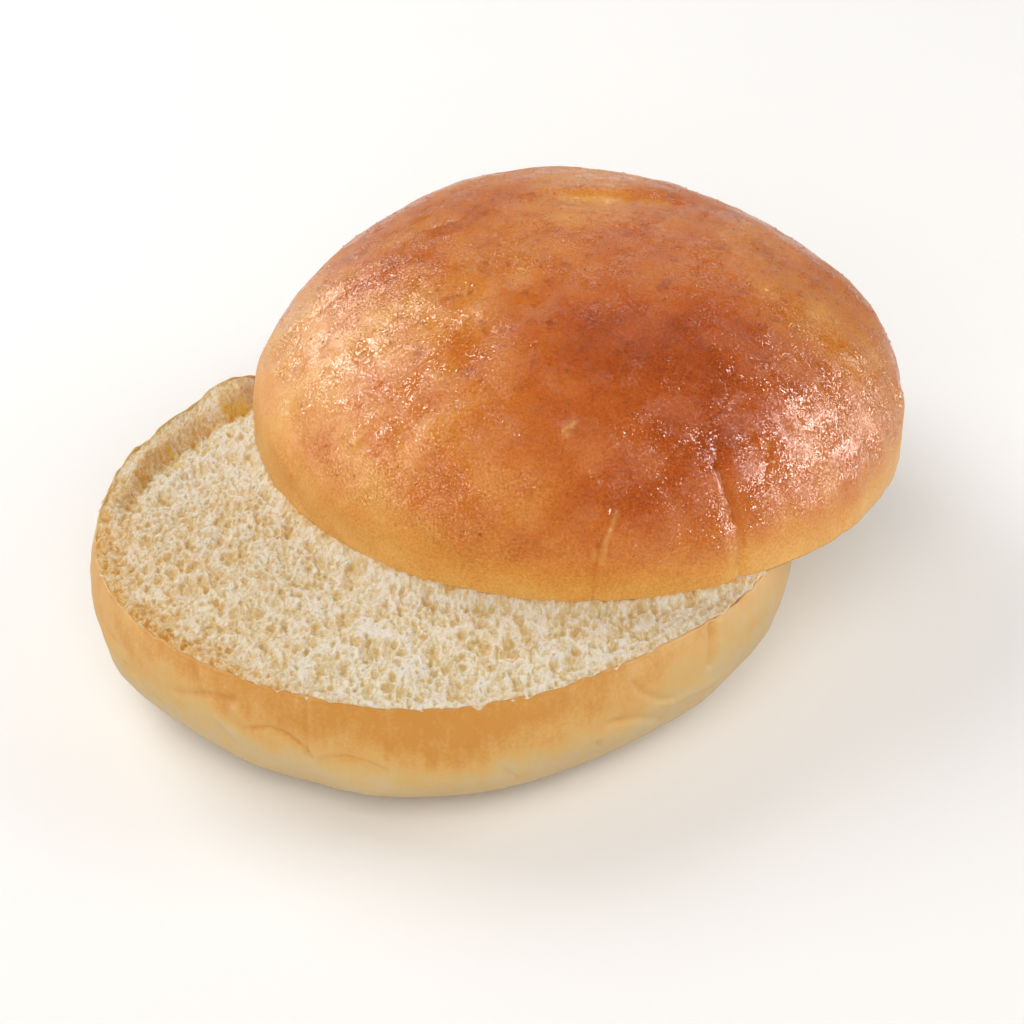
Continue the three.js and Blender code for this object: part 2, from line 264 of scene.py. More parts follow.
# Unevenness, in layers of (height or amount, length in mm, phase). The first of the heel's and
# the crown's layers are those of the solid model.
WAVES = 7
WAVE_STRETCH = 0.13
WAVE_TURN = 1.9
GOLDEN_ANGLE = np.pi * (3 - np.sqrt(5))
HEEL_SWELLS = ((0.5, 34.0, 2), (0.32, 12.0, 7))
HEEL_GRAIN = ((0.06, 3.3, 4),)
HEEL_RIM_TEAR = ((0.14, 2.4, 6), (0.1, 5.5, 1))
HEEL_BAKE_DRIFT = ((1.1, 22.0, 5.0), (1.1, 7.5, 8.0))
HEEL_BAKE_STREAKS = ((0.05, 2.2, 4.0),)
HEEL_BAKE_SPECKS = ((0.05, 4.0, 2.0),)
CRUMB_EDGE_TEAR = ((0.14, 1.5, 0.5), (0.12, 4.0, 2.5))
CRUMB_CLUMPS = ((0.35, 5.0, 3.3),)
CRUMB_PATCHES = ((8, 30.0, 1.3),)
# Only (length, phase).
CRUMB_HOLLOWS = (13.0, 0)
CROWN_SWELLS = ((0.35, 46.0, 0),)
CROWN_GRAIN = ((0.13, 14.0, 3), (0.085, 5.2, 6), (0.035, 2.3, 9))
CROWN_RIM_TEAR = ((0.16, 2.3, 2), (0.14, 6.0, 4))
CROWN_BAKE_CLOUDS = ((0.06, 17.0, 1), (0.04, 6.0, 3))
CROWN_BAKE_DRIFT = ((1.4, 16.0, 4),)
GLAZE_EDGE_DRIFT = ((1.6, 19.0, 6), (0.8, 6, 9))

# Points round the rims and mm between the rings, and where the points lie closer together:
# (middle and span of that side in degrees, its share of the points).
CRUST_POINTS = 800
CRUST_STEP = 0.45
CRUMB_POINTS = 880
CRUMB_STEP = 0.27
CROWN_CRUMB_STEP = 0.75
FRONT = (-100, 220, 0.68)
OPEN_CRUMB = (-132, 240, 0.86)
ALL_ROUND = (0, 180, 0.5)
HIDDEN_POINTS = 24
HIDDEN_SHARE = 0.4
# The distance inwards that hidden points of the crumb are taken to have, past every edge.
DEEP_INSIDE = 50.0


def linear(hex_colour):
    """The linear RGB of an sRGB colour such as "#C4702F"."""
    value = [int(hex_colour[i : i + 2], 16) / 255 for i in (1, 3, 5)]
    return tuple(c / 12.92 if c <= 0.04045 else ((c + 0.055) / 1.055) ** 2.4 for c in value)


def smooth(x, low, high):
    """0 up to low, 1 from high, and an even S-curve between them."""
    t = np.clip((x - low) / (high - low), 0, 1)
    return t * t * (3 - 2 * t)


def bell(away):
    """1 at 0, falling to almost nothing within 2 on both sides."""
    return np.exp(-(away**2))


def turn_from(start, degrees):
    """The turn from one direction to others, from -180 to 180 degrees."""
    return (degrees - start + 180) % 360 - 180


def waves(points, length, phase):
    """Crossed waves in evenly spread directions, about -1 to 1, at each point."""
    total = np.zeros(len(points))
    for i in range(WAVES):
        up = 1 - 2 * (i + 0.5) / WAVES
        out = np.sqrt(1 - up * up)
        turn = GOLDEN_ANGLE * i
        along = points @ np.array((out * np.cos(turn), out * np.sin(turn), up))
        pitch = length * (1 + WAVE_STRETCH * i)
        total += np.sin(2 * np.pi * along / pitch + phase + WAVE_TURN * i)
    return total / np.sqrt(WAVES)


def unevenness(points, layers):
    return sum(height * waves(points, length, phase) for height, length, phase in layers)


def lobed(lobes, angle):
    """How far the outline stands from the axis, as a share of the mean radius."""
    shares = (share * np.cos(count * (angle - np.radians(turned))) for count, share, turned in lobes)
    return 1 + sum(shares)


def heel_radius(angle):
    return ROLL_RADIUS * lobed(HEEL_LOBES, angle)


def crown_radius(angle):
    return ROLL_RADIUS * CROWN_SPREAD * lobed(CROWN_LOBES, angle)


def outside_crown(x, y):
    """How far outside the top half's rim each point lies, in mm."""
    dx, dy = x - CROWN_PLACE[0], y - CROWN_PLACE[1]
    return np.hypot(dx, dy) - crown_radius(np.arctan2(dy, dx))


def spaced_angles(count, middle, span, share):
    """Angles round the roll, with a share of them within a span about one direction."""
    u = np.arange(count) / count
    near = span * u / share
    far = span + (360 - span) * (u - share) / (1 - share)
    return np.radians(middle - span / 2 + np.where(u < share, near, far))


def steps_between(start, end, step):
    """Evenly spaced values from start to end, at most one step apart."""
    return np.linspace(start, end, max(2, int(np.ceil(abs(end - start) / step)) + 1))


def ring_points(angle, radius, height=0.0):
    return np.stack((radius * np.cos(angle), radius * np.sin(angle), height + 0 * angle), 1)


def middle_point(height=0.0):
    return np.array(((0, 0, height),))


def hidden_disc(radius_at, height, shares):
    """Coarse rings of a level disc that is never seen, each with its angles."""
    for share in shares:
        count = max(HIDDEN_POINTS, int(CRUST_POINTS * share * HIDDEN_SHARE))
        angle = spaced_angles(count, *FRONT)
        yield ring_points(angle, radius_at(angle) * share, height), angle


def stitched(rings):
    """One closed surface through rings of points, from its lowest middle round to its upper."""
    start = np.cumsum([0] + [len(ring) for ring in rings])
    faces = []
    for k in range(len(rings) - 1):
        a, b = len(rings[k]), len(rings[k + 1])
        if a > 1:
            i = np.arange(a)
            j = -(-(i + 1) * b // a) - 1
            faces.append(np.stack((start[k] + i, start[k] + (i + 1) % a, start[k + 1] + j % b), 1))
        if b > 1:
            j = np.arange(b)
            i = (j + 1) * a // b
            near = start[k] + i % a
            faces.append(np.stack((near, start[k + 1] + (j + 1) % b, start[k + 1] + j), 1))
    return np.concatenate(rings), np.concatenate(faces)


def new_piece(name, rings, attributes):
    """A mesh object through the rings, in metres, with one value for each point and attribute."""
    points, faces = stitched(rings)
    mesh = bpy.data.meshes.new(name)
    mesh.vertices.add(len(points))
    mesh.vertices.foreach_set("co", (points * MM).ravel())
    mesh.loops.add(faces.size)
    mesh.loops.foreach_set("vertex_index", faces.ravel())
    mesh.polygons.add(len(faces))
    mesh.polygons.foreach_set("loop_start", np.arange(0, faces.size, 3))
    mesh.update(calc_edges=True)
    mesh.shade_smooth()
    for key, values in attributes.items():
        layer = mesh.attributes.new(key, "FLOAT", "POINT")
        layer.data.foreach_set("value", np.concatenate(values).astype(np.float32))
    piece = bpy.data.objects.new(name, mesh)
    bpy.context.scene.collection.objects.link(piece)
    return piece


def add(tree, kind, inputs=None, **settings):
    """Adds a node with its settings, and sets each input or links it, to a node's first output."""
    node = tree.nodes.new(kind)
    for key, value in settings.items():
        setattr(node, key, value)
    for key, value in (inputs or {}).items():
        if isinstance(value, bpy.types.Node):
            value = value.outputs[0]
        if isinstance(value, bpy.types.NodeSocket):
            tree.links.new(value, node.inputs[key])
        else:
            node.inputs[key].default_value = value
    return node


def applied(piece, tree, values):
    """Runs a geometry tree on a piece with the named inputs set, and keeps the plain mesh."""
    modifier = piece.modifiers.new(tree.name, "NODES")
    modifier.node_group = tree
    for item in tree.interface.items_tree:
        if item.item_type == "SOCKET" and item.in_out == "INPUT" and item.name in values:
            modifier[item.identifier] = values[item.name]
    depsgraph = bpy.context.evaluated_depsgraph_get()
    mesh = bpy.data.meshes.new_from_object(
        piece.evaluated_get(depsgraph), preserve_all_data_layers=True, depsgraph=depsgraph
    )
    piece.modifiers.clear()
    piece.data = mesh
    if not mesh.polygons:
        raise RuntimeError(f"{tree.name} left nothing of {piece.name}")
    return piece


def finished(piece, node):
    """Hangs a finished piece on the root body and hides the part of the solid model that it stands
    for.
    """
    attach(piece, "root")
    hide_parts(node)


# The shape of the bottom half.


def lip_along(angle):
    """1 along the torn lip and 0 away from it, and the same for its crest."""
    turned = turn_from(LIP_MIDDLE, np.degrees(angle))
    along = 1 - smooth(np.abs(turned), LIP_FULL_SHARE * LIP_REACH, LIP_REACH)
    return along, bell((turned + LIP_MIDDLE - LIP_CREST) / LIP_CREST_REACH)


def lip_foot(angle):
    """How far inside the outline the torn lip's inner slope ends."""
    return LIP_FOOT - LIP_FOOT_NEARER * smooth(np.degrees(angle) % 360, *LIP_FOOT_TURN)


def lip_free(x, y):
    """0 under the top half, which presses the lip flat, and 1 clear of it."""
    return smooth(outside_crown(x, y), 0, LIP_CLEARANCE)


def lip_height(angle, x, y):
    """How far the torn lip stands above the cut."""
    along, crest = lip_along(angle)
    degrees = np.degrees(angle) % 360
    steps = sum(height * bell((degrees - place) / reach) for place, reach, height in LIP_STEPS)
    return (LIP_HEIGHT * along + LIP_CREST_HEIGHT * crest + steps * along) * lip_free(x, y)


def heel_section():
    """The wall's section, as (share of the rim, bulge, height) from the foot to the rim."""
    turn = np.linspace(0, np.pi / 2, 400)
    out = FOOT_SHARE + (1 - FOOT_SHARE) * np.sin(turn)
    height = HEEL_WAIST * (1 - np.maximum(np.cos(turn), 0) ** (2 / FOOT_CURVE))
    above = np.linspace(0, 1, 60)[1:]
    share = np.concatenate((out, np.ones(len(above))))
    bulge = np.concatenate((out, 1 - above**2)) * HEEL_BULGE
    height = np.concatenate((height, HEEL_WAIST + (CUT_HEIGHT - HEEL_WAIST) * above))
    radius = ROLL_RADIUS * share + bulge
    along = np.concatenate(([0], np.cumsum(np.hypot(np.diff(radius), np.diff(height)))))
    even = steps_between(0, along[-1], CRUST_STEP)
    return [np.interp(even, along, values) for values in (share, bulge, height)]


def path_distance(angle, height, path):
    """The distance in mm, over the unrolled wall, to a path of (degrees round, height)."""
    nearest = np.full(len(angle), np.inf)
    for (a0, z0), (a1, z1) in zip(path, path[1:]):
        x = np.radians(turn_from(a0, np.degrees(angle))) * ROLL_RADIUS
        run = np.radians(a1 - a0) * ROLL_RADIUS
        rise = z1 - z0
        t = np.clip((x * run + (height - z0) * rise) / (run**2 + rise**2), 0, 1)
        nearest = np.minimum(nearest, np.hypot(x - t * run, height - z0 - t * rise))
    return nearest


def heel_creases(angle, height):
    """How deep the side's creases lie, and how much more golden their narrow bottoms are."""
    depth, golden = np.zeros(len(angle)), np.zeros(len(angle))
    for path, half_width, deepest in HEEL_CREASES:
        away = path_distance(angle, height, path) / half_width
        depth += deepest * bell(away)
        golden += CREASE_GOLD * deepest * bell(CREASE_GOLD_NARROWER * away)
    return depth, golden


def heel_bake(points, angle):
    """How golden the side is: pale and soft low down, golden in a band under the cut."""
    height = points[:, 2]
    degrees = turn_from(0, np.degrees(angle))
    edge = np.interp(degrees, *np.transpose(GOLD_EDGE))
    amount = np.interp(degrees, *np.transpose(GOLD_AMOUNTS))
    above = height + unevenness(points, HEEL_BAKE_DRIFT) - edge
    bake = amount * smooth(above, -GOLD_FADE, GOLD_FADE)
    bake += 0.06 * np.exp(-(above**2) / 2) + 0.08 * smooth(height, 6, 16)
    # The last of the wall under the cut is browner, and the cut edge itself is pale.
    bake += 0.2 * smooth(height, CUT_HEIGHT - 0.7, CUT_HEIGHT)
    bake -= 0.55 * smooth(height, CUT_HEIGHT - 0.4, CUT_HEIGHT + 0.8)
    bake += heel_creases(angle, height)[1]
    # Streaks are drawn out upright, as the side stretched when it rose.
    bake += unevenness(points * (1, 1, 0.3), HEEL_BAKE_STREAKS)
    return np.clip(bake + unevenness(points, HEEL_BAKE_SPECKS), 0, 1)


def heel_wall_ring(angle, share, bulge, height):
    """A ring of the side, with its swells, grain, creases and torn rim."""
    rim = heel_radius(angle)
    above = max(0.0, (height - HEEL_WAIST) / (CUT_HEIGHT - HEEL_WAIST))
    z = height + lip_height(angle, rim * np.cos(angle), rim * np.sin(angle)) * above
    points = ring_points(angle, rim * share + bulge, z)
    low = np.sin(np.pi * min(1.0, height / HEEL_WAIST) * 0.9) ** 2
    push = unevenness(points, HEEL_SWELLS) * low * (1 - above)
    push += unevenness(points, HEEL_GRAIN) * smooth(height, 0, 4)
    push -= HEEL_CREASE_SHARE * heel_creases(angle, z)[0] * smooth(height, 1, 5)
    points[:, 2] += unevenness(points, HEEL_RIM_TEAR) * smooth(above, 0.8, 1)
    return points + ring_points(angle, 1.0) * push[:, None]


def heel_crust_rings():
    """The crust of the bottom half, from the middle of the foot to the hidden bed of the crumb."""
    rings = [(middle_point(), np.zeros(1))]
    for share in np.linspace(0.06, FOOT_SHARE, 22)[:-1]:
        count = max(HIDDEN_POINTS, int(CRUST_POINTS * share / FOOT_SHARE))
        angle = spaced_angles(count, *FRONT)
        rings.append((ring_points(angle, heel_radius(angle) * share + HEEL_BULGE * share), angle))
    angle = spaced_angles(CRUST_POINTS, *FRONT)
    rings += [(heel_wall_ring(angle, *step), angle) for step in zip(*heel_section())]

    # The thin cut edge, and the wall inside it down to the bed of the crumb.
    outer = rings[-1][0]
    rim = np.hypot(outer[:, 0], outer[:, 1])
    bed = CUT_HEIGHT - CRUST_BED
    for inset, fall in CUT_EDGE_STEPS:
        height = outer[:, 2] + (bed - outer[:, 2]) * fall
        rings.append((ring_points(angle, rim - CRUST_EDGE * inset, height), angle))
    rings += hidden_disc(heel_radius, bed, (0.8, 0.5, 0.2))
    rings.append((middle_point(bed), np.zeros(1)))
    return [points for points, _ in rings], {"bake": [heel_bake(*ring) for ring in rings]}


def crumb_outline(angle):
    """The crumb's edge: a ragged line just inside the crust's cut edge."""
    ragged = unevenness(ring_points(angle, ROLL_RADIUS), CRUMB_EDGE_TEAR)
    return heel_radius(angle) - CRUST_EDGE + 0.1 + ragged


def opened_bubbles(x, y):
    """How deep the large bubbles that the knife opened lie."""
    depth = np.zeros(len(x))
    for bubble_x, bubble_y, radius, deepest in HEEL_BUBBLES:
        share = np.hypot(x - bubble_x, y - bubble_y) / radius
        depth = np.maximum(depth, deepest * np.exp(-BUBBLE_FALLOFF * share**2))
    return depth


def crumb_level(angle, x, y, inwards):
    """The height of the bottom half's crumb before its small bubbles are opened."""
    along = lip_along(angle)[0]
    foot = lip_foot(angle)
    groove = LIP_GROOVE * along * bell((inwards - foot - 0.6) / LIP_GROOVE_REACH)
    lip = lip_height(angle, x, y) * (1 - smooth((inwards - LIP_TOP) / (foot - LIP_TOP), 0, 1))
    # It swells a little beside the crust, and where the top half's rim presses on its far side.
    plump = 0.3 * bell((inwards - 1.6) / 1.3) * (1 - along)
    outside = outside_crown(x, y)
    under = smooth(-outside, -2.6, -0.2) * smooth(outside, -3.4, -1.8)
    level = CUT_HEIGHT + plump * lip_free(x, y) - groove + lip + 0.9 * under
    hollow = opened_bubbles(x, y)
    hollow += 0.25 * (1 + waves(np.stack((x, y, 0 * x), 1), *CRUMB_HOLLOWS))
    return level - hollow * smooth(inwards, 0, 3) * (1 - under)


def heel_crumb_marks(points, on_top, inwards):
    """What the crumb keeps for its bubbles, shreds and colours, at points inside its outline."""
    x, y = points[:, 0], points[:, 1]
    angle = np.arctan2(y, x)
    along = lip_along(angle)[0]
    past_foot = inwards - lip_foot(angle)
    on_lip = along * (1 - smooth(past_foot, -1, 1))
    outside = outside_crown(x, y)
    # The knife pressed the crumb together beside the top half's rim.
    pressed = bell((outside + 0.6) / 2.0)
    edge = smooth(inwards, 0.3, 4.5) * (1 - on_lip)
    opened = on_top * (0.25 + 0.75 * edge) * smooth(inwards, 0, 1.2)
    soft = (1 - 0.45 * pressed) * (1 - 0.5 * on_lip)
    level = points * (1, 1, 0)
    spread = smooth(x - 0.4 * y + unevenness(level, CRUMB_PATCHES), -34, 4)
    clump = 0.65 + unevenness(level, CRUMB_CLUMPS)
    seen = smooth(outside, -2.5, -0.5) * smooth(inwards, -0.2, 1.0)
    # It is toasted beside the crust, wider at the left. On the lip's slope it is darker towards the
    # slope's foot. Beside the top half's rim the same tint is painted contact shadow.
    left = smooth(-x, 8, 44) * (1 - 0.8 * smooth(y, -8, 10))
    wide = np.exp(-inwards / 3.4) * left
    slope = along * (0.35 + 0.5 * smooth(past_foot, -3.0, -0.6))
    slope *= 1 - smooth(past_foot, 0, 1)
    browned_and_shadowed = np.maximum(0.9 * wide, slope) + 0.5 * np.exp(-inwards / 0.5) + 0.3 * left
    # Painted contact shadow, in the toast tint, beside the top half's rim.
    browned_and_shadowed += 0.55 * bell((outside - 0.1) / 0.8)
    spots = [bell(np.hypot(x - sx, y - sy) / reach) for sx, sy, reach in LIP_YELLOW_SPOTS]
    return {
        "open": opened * (1 - 0.85 * pressed),
        "fine": on_top * smooth(inwards, -0.3, 0.5) * soft,
        "coarse": 0.5 + 0.35 * spread,
        "toast": on_top * np.clip(browned_and_shadowed, 0, 1),
        "shred": on_top * np.clip(clump, 0.1, 1) * seen,
        "yellow": 0.7 * on_top * np.max(spots, 0),
    }


def heel_crumb_rings():
    """The open crumb of the bottom half, as a slab with a fine upper face."""

    def hidden(share, count, height):
        angle = spaced_angles(count, *OPEN_CRUMB)
        points = ring_points(angle, crumb_outline(angle) * share, height)
        return points, 0.0, np.full(count, DEEP_INSIDE)

    bed = CUT_HEIGHT - CRUMB_BED
    rings = [hidden(share, count, bed) for share, count in ((0, 1), (0.3, 60), (0.7, 220))]
    rings += [hidden(1, CRUMB_POINTS, CUT_HEIGHT - depth) for depth in (CRUMB_BED, 2.6, 1.0, 0.35)]
    for distance in steps_between(0, CRUMB_REACH, CRUMB_STEP):
        share = 1 - distance / ROLL_RADIUS
        angle = spaced_angles(int(CRUMB_POINTS * share), *OPEN_CRUMB)
        outline = crumb_outline(angle)
        radius = outline * share
        x, y = radius * np.cos(angle), radius * np.sin(angle)
        height = crumb_level(angle, x, y, outline - radius)
        rings.append((ring_points(angle, radius, height), 1.0, outline - radius))
    for share, count in ((0.24, 120), (0.14, 48), (0.06, HIDDEN_POINTS), (0, 1)):
        rings.append(hidden(share, count, CUT_HEIGHT - CRUMB_UNDER_CROWN))
    marks = [heel_crumb_marks(*ring) for ring in rings]
    return [ring[0] for ring in rings], {key: [mark[key] for mark in marks] for key in marks[0]}


# The shape of the top half.


def direction(round_, up):
    """A direction from the centre of the crown's cut face."""
    a, e = np.radians(round_), np.radians(up)
    return np.array((np.cos(e) * np.cos(a), np.cos(e) * np.sin(a), np.sin(e)))


def arc_distance(points, start, end):
    """The distance in mm, over the dome, from each point to a line between two directions."""
    size = np.linalg.norm(points, axis=1)
    seen = points / np.maximum(size, 1e-6)[:, None]
    a, b = direction(*start), direction(*end)
    run = b - a
    t = np.clip((seen - a) @ run / (run @ run), 0, 1)
    nearest = a + t[:, None] * run
    nearest /= np.linalg.norm(nearest, axis=1)[:, None]
    return np.arccos(np.clip((seen * nearest).sum(1), -1, 1)) * size


def dome_marks(points, marks):
    total = np.zeros(len(points))
    for start, end, half_width, amount in marks:
        total += amount * bell(arc_distance(points, start, end) / half_width)
    return total


def crown_level(turn, below):
    """The height of the dome's section, at a turn from upright and a share below its waist."""
    return np.where(below > 0, CROWN_WAIST * (1 - below), CROWN_WAIST + CROWN_RISE * np.cos(turn))


def crown_section():
    """The dome's section, as (turn from upright, share below the waist), from rim to top."""
    below = np.linspace(1, 0, 40)[:-1]
    turn = np.linspace(np.pi / 2, 0, 500)
    turn_all = np.concatenate((np.full(len(below), np.pi / 2), turn))
    below_all = np.concatenate((below, np.zeros(len(turn))))
    radius = ROLL_RADIUS * np.sin(turn_all)
    height = crown_level(turn_all, below_all)
    along = np.concatenate(([0], np.cumsum(np.hypot(np.diff(radius), np.diff(height)))))
    even = steps_between(0, along[-1], CRUST_STEP)
    return [np.interp(even, along, values) for values in (turn_all, below_all)]


def crown_ring(angle, turn, below):
    """A ring of the dome in the crown's own frame, with its folds and creases."""
    rim = crown_radius(angle)
    points = ring_points(angle, rim * np.sin(turn), crown_level(turn, below))
    outward = np.stack(
        (np.sin(turn) * np.cos(angle) / rim, np.sin(turn) * np.sin(angle) / rim,
         0 * angle + np.cos(turn) / CROWN_RISE), 1
    )
    outward /= np.linalg.norm(outward, axis=1)[:, None]
    push = unevenness(points, CROWN_SWELLS) * (1 - below) + unevenness(points, CROWN_GRAIN)
    push -= 0.8 * dome_marks(points, CROWN_FOLDS)
    creases = dome_marks(points, CROWN_CREASES)
    push -= creases * (0.3 + 0.7 * smooth(points[:, 2], *CREASES_FADE))
    moved = points + outward * push[:, None]
    tear = np.maximum(unevenness(points, CROWN_RIM_TEAR), 0) * smooth(below, 0.8, 1)
    moved[:, 2] = np.maximum(moved[:, 2], 0) + tear
    return moved


def crown_bake(points):
    """How dark the crust is baked: pale gold at the rim and deep brown at the front right."""
    bake = np.full(len(points), CROWN_BAKE_BASE)
    seen = points / np.maximum(np.linalg.norm(points, axis=1), 1e-6)[:, None] * ROLL_RADIUS
    for round_, up, reach, amount in CROWN_BAKES:
        away = np.linalg.norm(seen - direction(round_, up) * ROLL_RADIUS, axis=1)
        bake += amount * bell(away / reach)
    bake += unevenness(points, CROWN_BAKE_CLOUDS)
    rise = smooth(points[:, 2] + unevenness(points, CROWN_BAKE_DRIFT), *CROWN_PALE_BAND)
    return np.clip(bake * rise, 0, 1)


def crown_glaze(points):
    """1 where the egg wash reached, and 0 at the rim, in a wider band at the left."""
    turned = turn_from(BARE_SIDE, np.degrees(np.arctan2(points[:, 1], points[:, 0])))
    edge = CROWN_GLAZE_EDGE + BARE_MORE * bell(turned / BARE_REACH)
    edge += unevenness(points, GLAZE_EDGE_DRIFT)
    return smooth(points[:, 2], edge, edge + CROWN_GLAZE_BLEND)


def crown_crust_rings():
    """The crust of the top half, from the hidden roof of its crumb round the rim to the top."""
    rings = [middle_point(CROWN_ROOF)]
    rings += [points for points, _ in hidden_disc(crown_radius, CROWN_ROOF, (0.2, 0.5, 0.8))]
    angle = spaced_angles(CRUST_POINTS, *FRONT)
    turns, belows = crown_section()
    rim = crown_ring(angle, turns[0], belows[0])
    for inset, height in CROWN_RIM_STEPS:
        bottom = rim - ring_points(angle, inset)
        bottom[:, 2] = rim[:, 2] * (1 - inset / CROWN_RIM_STEPS[0][0]) + height
        rings.append(bottom)
    for turn, below in zip(turns[:-1], belows[:-1]):
        count = max(HIDDEN_POINTS, int(CRUST_POINTS * np.sin(turn)))
        rings.append(crown_ring(spaced_angles(count, *FRONT), turn, below))
    rings.append(crown_ring(np.zeros(1), 0.0, 0.0))
    marks = {
        "streak": [smooth(points[:, 2], *CROWN_STREAKS) for points in rings],
        "bake": [crown_bake(points) for points in rings],
        "pale": [np.clip(dome_marks(points, CROWN_PALE_MARKS), 0, 1) for points in rings],
        "glaze": [crown_glaze(points) for points in rings],
    }
    return [points + CROWN_PLACE for points in rings], marks


def crown_crumb_rings():
    """The cut face of the top half, which faces down: a slab whose lower face is the fine one."""
    rings, marks = [], {"open": [], "fine": [], "coarse": [], "toast": []}

    def ring(count, share, height, on_face):
        angle = spaced_angles(count, *ALL_ROUND)
        outline = crown_radius(angle) - CROWN_CRUMB_INSET
        rings.append(ring_points(angle, outline * share, height) + CROWN_PLACE)
        inwards = outline * (1 - share)
        opened = on_face * (0.3 + 0.7 * smooth(inwards, 0.5, 4))
        marks["open"].append(opened * smooth(inwards, 0, 1.5))
        marks["fine"].append(on_face * smooth(inwards, 0, 1))
        marks["coarse"].append(np.full(count, 0.8))
        marks["toast"].append(on_face * 0.5 * np.exp(-inwards / 3.0))

    edge_count = int(2 * np.pi * ROLL_RADIUS / CROWN_CRUMB_STEP)
    ring(1, 0.0, 0.3, 1.0)
    for share in np.linspace(0, 1, int(ROLL_RADIUS / CROWN_CRUMB_STEP))[1:]:
        ring(max(8, int(edge_count * share)), share, 0.3 - 0.2 * smooth(share, 0.9, 1), 1.0)
    for count, share, height in ((edge_count, 1.0, 1.2), (edge_count, 1.0, CROWN_CRUMB_TOP),
                                 (120, 0.5, CROWN_CRUMB_TOP), (1, 0.0, CROWN_CRUMB_TOP)):
        ring(count, share, height, 0.0)
    return rings, marks


# Geometry trees.

# The sizes of bubbles: (name, how far one fills its cell, how much painted shade it lays in the
# crumb's colour). The wide floors of the largest get less painted shade than the small pits.
BUBBLE_LAYERS = (
    ("Large", 0.58, 0.35),
    ("Medium", 0.58, 1.0),
    ("Small", 0.64, 1.0),
    ("Tiny", 0.64, 1.0),
)
SMALLEST_FILL = 0.22
# Each layer is taken this much higher up in the pattern, in metres, so that they all differ.
LAYER_SHIFT = 0.013
# The dough was rolled up, which leaves its bubbles narrow along X and long along Y.
BUBBLE_PULL = (1.2, 0.66, 0)
BUBBLE_BEND = 3.2


def new_geometry_tree(name, sockets):
    """An empty geometry tree with named inputs, as (name, socket type, default)."""
    tree = bpy.data.node_groups.new(name, "GeometryNodeTree")
    tree.interface.new_socket("Geometry", in_out="OUTPUT", socket_type="NodeSocketGeometry")
    tree.interface.new_socket("Geometry", in_out="INPUT", socket_type="NodeSocketGeometry")
    for label, kind, default in (*sockets, ("Material", "Material", None)):
        socket = tree.interface.new_socket(label, in_out="INPUT", socket_type=f"NodeSocket{kind}")
        if default is not None:
            socket.default_value = default
    return tree, add(tree, "NodeGroupInput").outputs


def closed_tree(tree, given, geometry):
    """Ends a tree: its instances are made real and take its material."""
    real = add(tree, "GeometryNodeRealizeInstances", {"Geometry": geometry})
    painted = add(
        tree, "GeometryNodeSetMaterial", {"Geometry": real, "Material": given["Material"]}
    )
    add(tree, "NodeGroupOutput", {0: painted})
    return tree


def bubble_layer(tree, place, cell, depth, fullest, shift):
    """How deep the bubbles of one size lie under each point, as a value in metres."""
    moved = add(tree, "ShaderNodeVectorMath", {0: place, 1: (0, 0, shift)}, operation="ADD")
    rate = add(tree, "ShaderNodeMath", {0: 1.0, 1: cell}, operation="DIVIDE")
    cells = add(tree, "ShaderNodeTexVoronoi", {"Vector": moved, "Scale": rate})
    pick = add(tree, "FunctionNodeSeparateColor", {"Color": cells.outputs["Color"]})
    size = add(
        tree, "ShaderNodeMapRange", {"Value": pick, "To Min": SMALLEST_FILL, "To Max": fullest}
    )
    share = add(tree, "ShaderNodeMath", {0: cells, 1: size}, operation="DIVIDE")
    square = add(tree, "ShaderNodeMath", {0: share, 1: 2.0}, operation="POWER")
    inside = add(tree, "ShaderNodeMath", {0: 1.0, 1: square}, operation="SUBTRACT", use_clamp=True)
    bowl = add(tree, "ShaderNodeMath", {0: inside, 1: 0.6}, operation="POWER")
    wide = add(tree, "ShaderNodeMath", {0: bowl, 1: size}, operation="MULTIPLY")
    return add(tree, "ShaderNodeMath", {0: wide, 1: depth}, operation="MULTIPLY")


